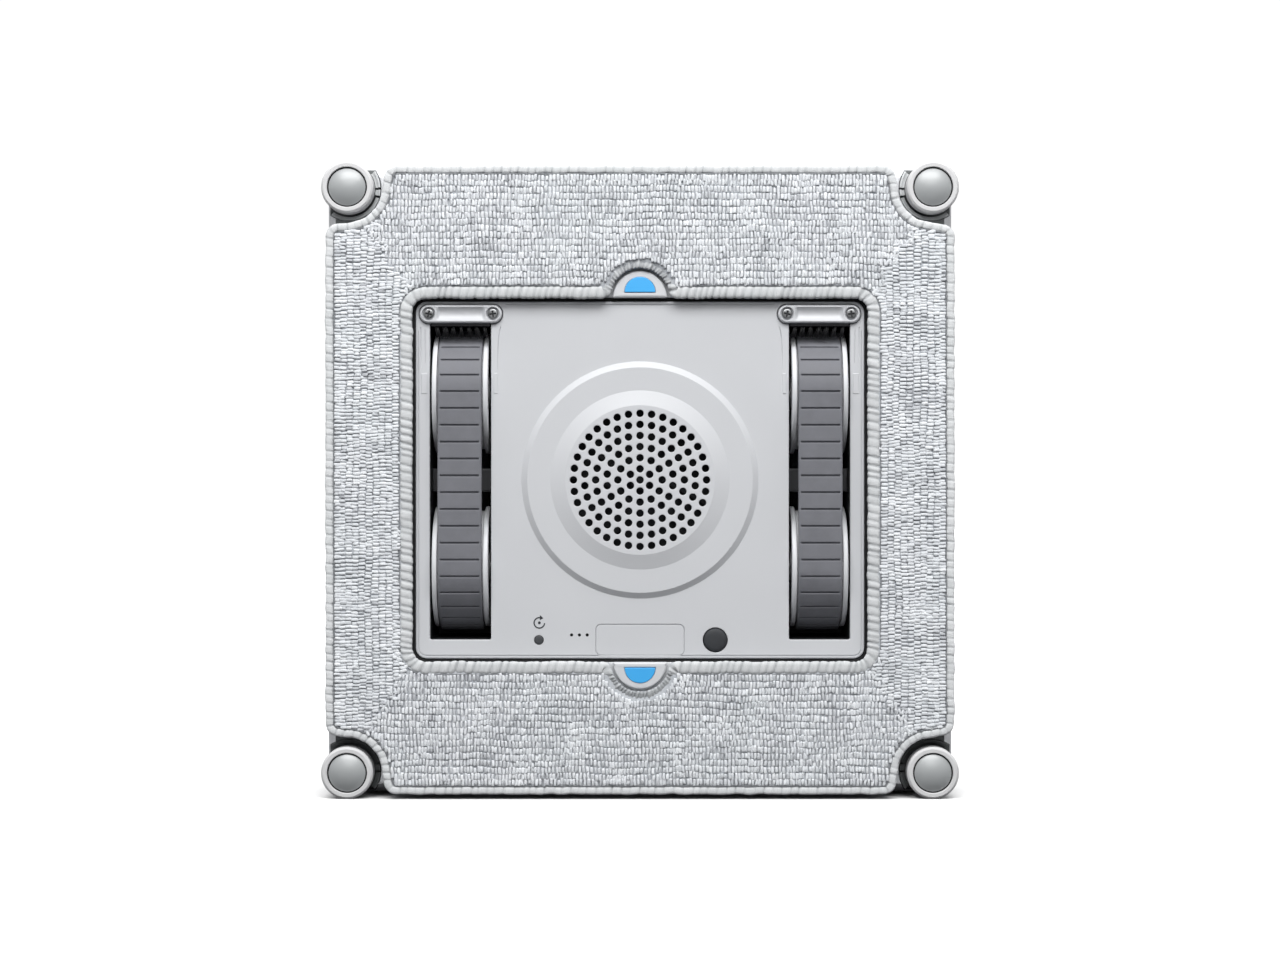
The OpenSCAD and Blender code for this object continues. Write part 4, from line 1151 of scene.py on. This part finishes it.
for side, label in ((-1, "left"), (1, "right")):
    build(belt(side), f"{label}_tread_belt_ribbed", M["belt"], replaces=f"{label}_tread_belt", angle=40)
    for v, kind in ((-WHEEL_V, "drive"), (WHEEL_V, "idler")):
        wheel = Shape()
        prof = [(3.0, -12), (7, -12), (7, -1.5), (20.6, -1.5), (21.2, -12), (26.2, -12), (26.2, -9.9), (24.3, -9.9), (24.3, 9.9), (26.2, 9.9),
                (26.2, 12), (21.2, 12), (20.6, 1.5), (7, 1.5), (7, 12), (3.0, 12)]
        rad = [0.2, 0.5, 0.6, 0.8, 0.4, 0.7, 0.25, 0.2, 0.2, 0.25, 0.7, 0.4, 0.8, 0.6, 0.5, 0.2]
        wheel.lathe(fillet(prof, rad, 3), side * TRACK_X, v, 96, axis="x", loop=True, w=WHEEL_W)
        build(wheel, f"{label}_{kind}_wheel_rim", M["wheel"], body=f"{label}_{kind}", replaces=f"{label}_{kind}_wheel")

    beam = Shape()
    beam.plate([(side * 77.05 + x, v) for x, v in ((-13.15, -5.1), (13.15, -5.1), (13.15, 5.1), (-13.15, 5.1))], [], 20, 34, 1.0, 0.5)
    build(beam, f"{label}_track_beam", M["grey"], replaces="track_beams")

    # bracket over the upper end of the slot: a hollowed bar between two screw bosses
    cx, cv = side * BR_X, BR_V
    br = Shape()
    bar = rr(BR_HX, BR_HV, BR_HV - 0.01, 20, cx, cv)
    round_f = [(0.95 * (1 - math.sin(t)), 4.2 + 1.15 * (1 - math.cos(t))) for t in np.linspace(0, math.pi / 2, 7)]
    br.wall(bar, round_f + [(0, 8.6)])
    gx, gy = np.linspace(-10.6, 10.6, 41), np.linspace(-2.95, 2.95, 15)
    grid = []
    for y in gy:
        row = []
        for x in gx:
            rise = min(1.0, (10.6 - abs(x)) / 1.5)
            rise = rise * rise * (3 - 2 * rise)
            row.append((cx + x, 4.2 + 1.45 * (1 - (abs(y) / 2.95) ** 2.2) * rise, cv + y))
        grid.append(row)
    br.rings(grid, closed=False)
    rim_pts = [(cx + x, cv - 2.95) for x in gx] + [(cx + 10.6, cv + y) for y in gy[1:]] + [(cx + x, cv + 2.95) for x in gx[::-1][1:]] + [(cx - 10.6, cv + y) for y in gy[::-1][1:-1]]
    eyes = [circle(cx + d, cv, 2.85, 40) for d in (-13.75, 13.75)]
    br.fill([offset(bar, 0.95), rim_pts] + [offset(e, -0.3) for e in eyes], 4.2)
    for e in eyes:
        br.wall(e, hole_prof(4.2, 5.45, 0.3))
        br.fill([e], 5.45)
    br.fill([bar], 8.6, back=True)
    build(br, f"{label}_track_bracket", M["panel"], replaces="track_brackets")

    for d in (-13.75, 13.75):
        sc = Shape()
        a45 = math.radians(0)
        cross = [(0.36, 0.36), (0.36, 1.45), (-0.36, 1.45), (-0.36, 0.36), (-1.45, 0.36), (-1.45, -0.36), (-0.36, -0.36), (-0.36, -1.45), (0.36, -1.45), (0.36, -0.36), (1.45, -0.36), (1.45, 0.36)]
        rot = math.radians(8 if d > 0 else -14)
        cross = [(cx + d + x * math.cos(rot) - y * math.sin(rot), cv + x * math.sin(rot) + y * math.cos(rot)) for x, y in ccw(cross)]
        rim = circle(cx + d, cv, 1.65, 40)
        sc.lathe([(1.65, 4.50), (1.95, 4.58), (2.15, 4.72), (2.28, 4.95), (2.30, 5.2), (2.30, 5.5)], cx + d, cv, 40)
        sc.fill([rim, cross], 4.50)
        # the cross recess in the dark finish is painted shade
        sc.wall(cross, [(0, 4.50), (0.10, 5.2)], mat=1)
        sc.fill([offset(cross, 0.10)], 5.2, mat=1)
        sc.fill([circle(cx + d, cv, 2.30, 40)], 5.5, back=True)
        build(sc, f"{label}_bracket_screw_{'outer' if d * side > 0 else 'inner'}", [M["screw"], M["dark"]], replaces="bracket_screws", angle=30)

    # brush strip: a holder and slanted tufts of fine bristles
    holder = Shape()
    holder.plate([(side * 77.05 + x, v) for x, v in ((-12.65, 66), (12.65, 66), (12.65, 68.4), (-12.65, 68.4))], [], 6.25, 9.4, 0.3, 0.2)
    build(holder, f"{label}_brush_holder", M["dark"], replaces="belt_brushes")
    vv, qq, k0 = [], [], 0
    for tuft in range(7):
        for _ in range(26):
            bx = side * (66.9 + tuft * 3.38) + rng.normal(0, 0.34)
            bw = 7.6 + rng.normal(0, 0.42)
            lean_x = rng.normal(0.35, 0.22) * -side
            tipv = 61.5 + rng.normal(0, 0.28)
            for f, r_ in ((0, 0.16), (0.5, 0.15), (1, 0.10)):
                c = (bx + lean_x * f * 2.2 + 0.25 * f * f * rng.normal(), bw + rng.normal(0, 0.1) * f, 66.2 + (tipv - 66.2) * f)
                vv += [(c[0] + r_ * math.cos(g), c[1] + r_ * math.sin(g), c[2]) for g in (0.4, 1.97, 3.54, 5.11)]
            for lvl in range(2):
                qq += [(k0 + lvl * 4 + i, k0 + lvl * 4 + (i + 1) % 4, k0 + lvl * 4 + 4 + (i + 1) % 4, k0 + lvl * 4 + 4 + i) for i in range(4)]
            qq += [(k0 + 3, k0 + 2, k0 + 1, k0), (k0 + 8, k0 + 9, k0 + 10, k0 + 11)]
            k0 += 12
    o = fast_mesh(f"{label}_brush_bristles", np.array(vv), quads=np.array(qq))
    dress(o, M["bristle"], "root")

# ---------------------------------------------------------------- corner rollers

for name, (sx, sv) in CORNERS.items():
    x, v = sx * ROLL, sv * ROLL
    ring = Shape()
    prof = fillet(
        [(6.05, 3.6), (8.55, 3.6), (8.55, 2.0), (10.25, 2.0), (11.15, 2.75), (11.15, 11.0), (6.05, 11.0)],
        [0, 0.15, 0.38, 0.35, 0.5, 0.6, 0.1], 4)
    ring.lathe(prof, x, v, 96, loop=True)
    build(ring, f"{name}_roller_tyre", M["roller"], body=f"{name}_wheel", replaces=f"{name}_roller")
    dome = Shape()
    radius = 14.5
    prof = [(r, 0.45 + radius - math.sqrt(radius**2 - r * r)) for r in np.linspace(0, 7.3, 18)]
    prof += [(7.62, 2.60), (7.84, 2.72), (7.93, 2.84)]
    dome.lathe(prof, x, v, 96)
    dome.lathe([(7.93, 2.84), (8.49, 2.95), (8.49, 3.3), (0, 3.3)], x, v, 96, mat=1)
    build(dome, f"{name}_domed_cap", [M["cap"], M["seal"]], body=f"{name}_arm", replaces=f"{name}_cap", angle=50)

# the coiled return springs, drawn as one fixed coil between the inner stop and the carrier
for name, (sx, sv) in CORNERS.items():
    turns, per, sides = 5.5, 22, 8
    f = np.linspace(0, 1, int(turns * per) + 1)
    # the end turns lie close together, so both ends are nearly flat
    along = 4.0 + 9.6 * np.interp(f, [0, 0.14, 0.86, 1], [0, 0.075, 0.925, 1])
    g = f * turns * 2 * math.pi
    inward, across = np.array([-sx, -sv]) * math.sqrt(0.5), np.array([sv, -sx]) * math.sqrt(0.5)
    a_ = np.linspace(0, 2 * math.pi, sides, endpoint=False)
    rad = 2.28 + 0.36 * np.cos(a_)[None, :]
    d_ = along[:, None] + 0.36 * np.sin(a_)[None, :]
    e_ = rad * np.cos(g)[:, None]
    vv = np.zeros((len(f), sides, 3))
    vv[:, :, 0] = sx * ROLL + inward[0] * d_ + across[0] * e_
    vv[:, :, 1] = 24.6 + rad * np.sin(g)[:, None]
    vv[:, :, 2] = sv * ROLL + inward[1] * d_ + across[1] * e_
    ii, jj = np.meshgrid(np.arange(len(f) - 1), np.arange(sides), indexing="ij")
    qq = np.stack([ii * sides + jj, ii * sides + (jj + 1) % sides, (ii + 1) * sides + (jj + 1) % sides, (ii + 1) * sides + jj], -1).reshape(-1, 4)
    last = (len(f) - 1) * sides
    tt_ = [(0, i + 1, i) for i in range(1, sides - 1)] + [(last, last + i, last + i + 1) for i in range(1, sides - 1)]
    if sx * sv < 0:
        qq, tt_ = qq[:, ::-1], [t_[::-1] for t_ in tt_]
    o = fast_mesh(f"{name}_return_spring", vv.reshape(-1, 3), quads=qq, tris=np.array(tt_))
    o.data.materials.append(M["steel"])
    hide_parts(f"{name}_spring")
    at = [world_of([(sx * ROLL + inward[0] * d, 24.6, sv * ROLL + inward[1] * d)])[0] for d in (13.4, 4.2)]
    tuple(at[0])
    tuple(at[1])
    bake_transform(o)

# ---------------------------------------------------------------- lower housing

POCKET_R, POCKET_W = 14.0, 14.6


def pocket_outline(h, corner_n=22):
    """Square of half size h with the four round pockets taken out of its corners."""
    dy = math.sqrt(POCKET_R**2 - (h - ROLL) ** 2)
    a0 = math.degrees(math.atan2(-dy, h - ROLL))
    run = arc(ROLL, ROLL, POCKET_R, 360 + a0, 180 - (90 + a0) + 0, corner_n)
    a1 = math.degrees(math.atan2(h - ROLL, -dy))
    run = arc(ROLL, ROLL, POCKET_R, 360 + a0, a1, corner_n)
    return [turn(p, q) for q in range(4) for p in run]


housing = Shape()
N_C = 22
low = [(131.0, 9.0), (131.7, 10.4), (132.6, 12.0), (133.9, POCKET_W)]
edge_prof = [(0.8 * (1 - math.sin(t)), 9.0 + 0.8 * (1 - math.cos(t))) for t in np.linspace(0, math.pi / 2, 4)]
base_loop = pocket_outline(131.0, N_C)
rings = [[on_w(p, d) for p in offset(base_loop, i)] for i, d in edge_prof]
rings += [[on_w(p, d) for p in pocket_outline(h, N_C)] for h, d in low[1:]]
housing.rings(rings)
slots = [slot_loop(1, 0.3), slot_loop(-1, 0.3)]
mouth = circle(0, 0, 42, 96)
housing.fill([offset(base_loop, 0.8), mouth, circle(-43.4, -68.7, 2.8, 32), circle(32.3, -68.7, 6.2, 48)] + slots, 9.0)
# corner floors of the pockets, in a dark finish that is painted shade, and the flared skin behind them
h_floor = low[-1][0]
full = rr(h_floor, h_floor, 14.0, 16)
full_pts = ccw(full)
notch = pocket_outline(h_floor, N_C)
for q in range(4):
    arc_pts = [turn(p, q) for p in notch[: N_C + 1]]
    corner = [turn(p, q) for p in arc(h_floor - 14, h_floor - 14, 14, 0, 90, 16)]
    loop = clean(arc_pts + corner[::-1])
    axis = turn((ROLL, ROLL), q)
    well = circle(axis[0] - 0.53 * np.sign(axis[0]), axis[1] - 0.53 * np.sign(axis[1]), 5.4, 32)
    housing.fill([ccw(loop), well], POCKET_W, mat=2)
    housing.wall(ccw(well), [(0, POCKET_W), (0, POCKET_W + 2.3)], mat=2)
skin = [(h_floor, POCKET_W, 14.0), (135.0, 19.0, 14.6), (135.8, 25.0, 15.2), (136.35, 31.5, 15.8), (136.5, 36.0, 16.0), (136.5, 39.3, 16.0), (136.3, 39.75, 16.0), (135.6, 39.9, 15.6)]
full_ring = lambda h, r: clean(sum(([turn(p, q) for p in arc(h - r, h - r, r, 0, 90, 16)] for q in range(4)), []))
rings = [[on_w(p, w) for p in full_ring(h, r)] for h, w, r in skin]
housing.rings(rings)
# the flat sides of the first skin ring meet the notched one in straight runs
for s_ in slots:
    housing.wall(s_, [(0, 9.0), (0, 9.6)])
    # slot walls and floor in the dark well finish, painted shade
    housing.wall(s_, [(0, 9.6), (0, 55.8)], mat=1)
    housing.fill([s_], 55.8, mat=1)
lower = build(housing, "lower_housing_shell", [M["housing"], M["well"], M["pocket"]], replaces="lower_housing", solid=1.8, front=-1)

# a ledge round each pocket behind the roller, with a small notch, a lug and a slit, light in the upper corners and in
# the dark pocket finish, painted shade, in the lower ones;
# and a dark plate of painted shade on the part of the rim that lies towards the robot's side
for name, (sx, sv) in CORNERS.items():
    ledge = Shape()
    reach = 132.6 - ROLL
    end = math.degrees(math.asin(reach / 13.0))
    near = ((13.68, 10.0), (13.55, 9.62), (13.3, 9.56), (12.85, 9.72), (12.70, 10.1), (12.67, 11.06), (11.38, 11.08), (11.38, 11.23), (12.05, 11.26), (12.05, 12.2), (13.68, 12.2))
    far = ((13.68, 10.3), (13.55, 10.08), (13.3, 10.06), (12.7, 10.7), (12.2, 11.15), (11.95, 11.4), (11.92, 12.2), (13.68, 12.2))
    # angles about the roller's axis: 0 towards the middle of the robot along x, positive towards the outer edge
    for a0, a1, section in ((3.0, end, near), (-12.5, -1.5, near), (-90 - end, -17.0, far)):
        n_ = max(3, int(abs(a1 - a0) / 3))
        rings = []
        for g in np.radians(np.linspace(a0, a1, n_ + 1)):
            c_, s_g = -math.cos(g) * sx, math.sin(g) * sv
            rings.append([(sx * ROLL + c_ * r_, w_, sv * ROLL + s_g * r_) for r_, w_ in section])
        ledge.rings(rings, cap0=True, cap1=True)
    build(ledge, f"{name}_pocket_ledge", M["bezel"] if name.startswith("upper") else M["pocket"], angle=45)
    # a dark plate that is painted shade, lying over the housing face beside the pocket
    shade_plate = Shape()
    h_in = 130.9
    xs = ROLL - h_in
    arc_in = [(-math.cos(g) * 14.05, math.sin(g) * 14.05) for g in np.radians(np.linspace(-52, -90 - math.degrees(math.asin(-xs / 14.05)), 24))]
    arc_out = [(-math.cos(g) * 17.8, math.sin(g) * 17.8) for g in np.radians(np.linspace(-52, -90 - math.degrees(math.asin(-xs / 17.8)), 24))]
    loop = [(sx * (ROLL + x), sv * (ROLL + y)) for x, y in arc_in + arc_out[::-1]]
    shade_plate.plate(loop, [], 8.72, 9.0, 0.1, 0.0, seg=2)
    build(shade_plate, f"{name}_pocket_shade_plate", M["pocket"])

# ---------------------------------------------------------------- top cover

cover = Shape()
prof = [(135.6, 40.1, 15.6), (136.3, 40.25, 16.0), (136.5, 40.7, 16.0), (136.5, 44.0, 16.0), (136.4, 46.5, 16.0), (136.0, 49.5, 16.0), (135.2, 52.0, 16.0), (134.0, 54.5, 16.0),
        (132.4, 57.0, 16.0), (130.3, 59.2, 16.0), (127.9, 61.0, 16.0), (125.6, 62.0, 16.0), (123.4, 62.4, 15.6), (121.5, 62.5, 15.0)]
cover.rings([[on_w(p, w) for p in full_ring(h, r)] for h, w, r in prof])
dish_rim = circle(0, 0, 46.0, 128)
exhaust = rr(53.0, 11.0, 3.0, 6, cy=88)
start_seat = circle(0, -85, 12.75, 64)
inlet = circle(60, 105, 6.15, 48)
top_outline = full_ring(121.5, 15.0)
cover.fill([top_outline, dish_rim, offset(ccw(exhaust), -0.4), offset(ccw(start_seat), -0.25), offset(ccw(inlet), -0.2)], 62.5)
cover.lathe(fillet([(46.0, 62.5), (45.0, 62.5), (37.5, 52.5), (30, 52.5)], [0, 1.4, 5.0, 0], 8, closed=False) + [(12, 52.5), (0, 52.5)], n=128)
for loop, d, r in ((exhaust, 61.3, 0.4), (start_seat, 60.5, 0.25), (inlet, 58.0, 0.2)):
    loop = ccw(loop)
    cover.wall(loop, [(-r * (1 - math.sin(t)), 62.5 - r * (1 - math.cos(t))) for t in np.linspace(0, math.pi / 2, 4)] + [(0, d)])
seat2 = ccw(rr(50.0, 8.0, 1.5, 6, cy=88))
cover.fill([ccw(exhaust), seat2], 61.3)
cover.wall(seat2, [(0, 61.3), (0, 59.0)])
button_hole = circle(0, -85, 10.1, 64)
cover.fill([ccw(start_seat), button_hole], 60.5)
cover.wall(ccw(button_hole), [(0, 60.5), (0, 57.5)])
top = build(cover, "top_cover_shell", M["cover"], replaces="top_cover", solid=2.2, front=1)

# ---------------------------------------------------------------- back side fittings


def handle_shape():
    """A bar that rises from the cover in two ramps, with a rounded section and slightly waisted middle."""
    path = fillet([(-60.0, 60.6), (-50.5, 72.6), (50.5, 72.6), (60.0, 60.6)], [0, 16, 16, 0], 14, closed=False)
    p, s, total = resample(path, 1.6, closed=False)
    t = np.gradient(p, axis=0)
    t /= np.linalg.norm(t, axis=1)[:, None]
    nrm = np.stack([-t[:, 1], t[:, 0]], 1)
    shape = Shape()
    rings = []
    for i in range(len(p)):
        f = s[i] / total
        x = p[i][0]
        thick = 4.3 - 0.5 * math.exp(-((x / 26) ** 2))
        wide = 13.0 - 1.6 * math.exp(-((x / 34) ** 2))
        ring = []
        for k in range(32):
            a = 2 * math.pi * k / 32
            ca, sa = math.cos(a), math.sin(a)
            cu = math.copysign(abs(ca) ** 0.62, ca) * wide
            cv = math.copysign(abs(sa) ** 0.62, sa) * thick
            ring.append((p[i][0] + nrm[i][0] * cv, p[i][1] + nrm[i][1] * cv, cu))
        rings.append(ring)
    shape.rings(rings, cap0=True, cap1=True)
    return shape


build(handle_shape(), "carry_handle_grip", M["grey"], replaces="carry_handle", angle=60)

grille_plate = Shape()
slits = [rr(1.1, 7.0, 1.05, 5, cx=i * 4.0, cy=88) for i in range(-12, 13)]
grille_plate.plate(rr(52.8, 10.8, 2.9, 6, cy=88), slits, 61.4, 62.85, 0.15, 0.5)
build(grille_plate, "exhaust_grille_bars", M["grey"], replaces="exhaust_grille")

button = Shape()
button.lathe([(0, 63.35), (3, 63.38), (5.5, 63.5), (7.6, 63.74), (8.5, 63.8), (9.1, 63.7), (9.5, 63.35), (9.6, 62.9), (9.6, 60), (3, 60), (3, 56), (0, 56)], 0, -85, 72)
build(button, "start_button_disc", M["dark"], body="start_cap", replaces="start_button")
# bare power ring and bar moulded on the button
mark = Shape()
mark.plate(arc(0, -85, 3.6, 120, 420, 40) + arc(0, -85, 3.05, 420, 120, 40), [], 63.36, 63.56, 0.0, 0.05)
mark.plate([(-0.28, -83.2), (0.28, -83.2), (0.28, -80.4), (-0.28, -80.4)], [], 63.36, 63.56, 0.0, 0.05)
build(mark, "start_button_sign", M["tab"], body="start_cap")

lens = Shape()
lens.lathe(fillet([(10.2, 60.5), (12.6, 60.5), (12.6, 62.85), (10.2, 62.85)], [0.1, 0.1, 0.5, 0.3], 4), 0, -85, 80, loop=True)
build(lens, "status_lens_ring", M["lens"], replaces="status_lens")

jack = Shape()
jack.lathe(fillet([(2.75, 62.5), (6.0, 62.5), (6.0, 48.5), (0, 48.5), (0, 52.5), (2.75, 52.5)], [0.5, 0.5, 0.3, 0, 0, 0], 4), 60, 105, 56, loop=True)
build(jack, "power_inlet_socket", M["dark"], replaces="power_inlet")
liner = Shape()
liner.lathe([(2.76, 61.4), (2.76, 52.6), (2.60, 52.6), (2.60, 61.2)], 60, 105, 48, loop=True)
liner.lathe([(0, 53), (0.7, 53), (0.7, 59.6), (0.45, 60.3), (0, 60.5)], 60, 105, 24)
build(liner, "power_inlet_contacts", M["steel"])

eye = Shape()
body_loop = fillet([(62.5, 112), (62.5, 98), (67.5, 98)] + [(67.5 + 7 * math.cos(a), 105 + 7 * math.sin(a)) for a in np.radians(np.linspace(-80, 80, 24))] + [(67.5, 112)], 0, 1)
eye.plate(ccw(clean(body_loop)), [circle(68.5, 105, 3.5, 48)], -62.5, -57.5, 0.9, 0.9, seg=4, put=on_x, hole_rf=0.9)
build(eye, "tether_eye_loop", M["steel"], replaces="tether_eye")
foot = Shape()
foot.plate(rr(6.5, 9, 2.0, 6, cx=-60, cy=105), [], 62.5, 64.0, 0.0, 0.5)
for s_ in (-1, 1):
    foot.lathe([(0, 64.9), (0.9, 64.85), (1.4, 64.6), (1.6, 64.2), (1.6, 63.9), (0, 63.9)], -60 + s_ * 4.6, 105, 24)
build(foot, "tether_eye_foot", M["steel"])

# ---------------------------------------------------------------- CAD pieces that stay, with their finishes

KEEP = {
    "hook_tape": "hook", "housing_screws": "steel", "drive_motors": "motor", "gearbox_plates": "grey", "idler_axles": "steel",
    "shaft_bushes": "bronze", "bump_switches": "dark", "fan_impeller": "dark", "fan_motor": "motor", "fan_housing": "grey",
    "circuit_board": "board", "battery_pack": "cell",
}
for side in ("left", "right"):
    KEEP[f"{side}_drive_shaft"] = "steel"
    KEEP[f"{side}_drive_gear"] = "nylon"
    KEEP[f"{side}_motor_pinion"] = "brass"
for c in CORNERS:
    KEEP[f"{c}_carrier"] = "dark"
for node, key in KEEP.items():
    o = NODES[node]
    o.data.materials.clear()
    o.data.materials.append(M[key])
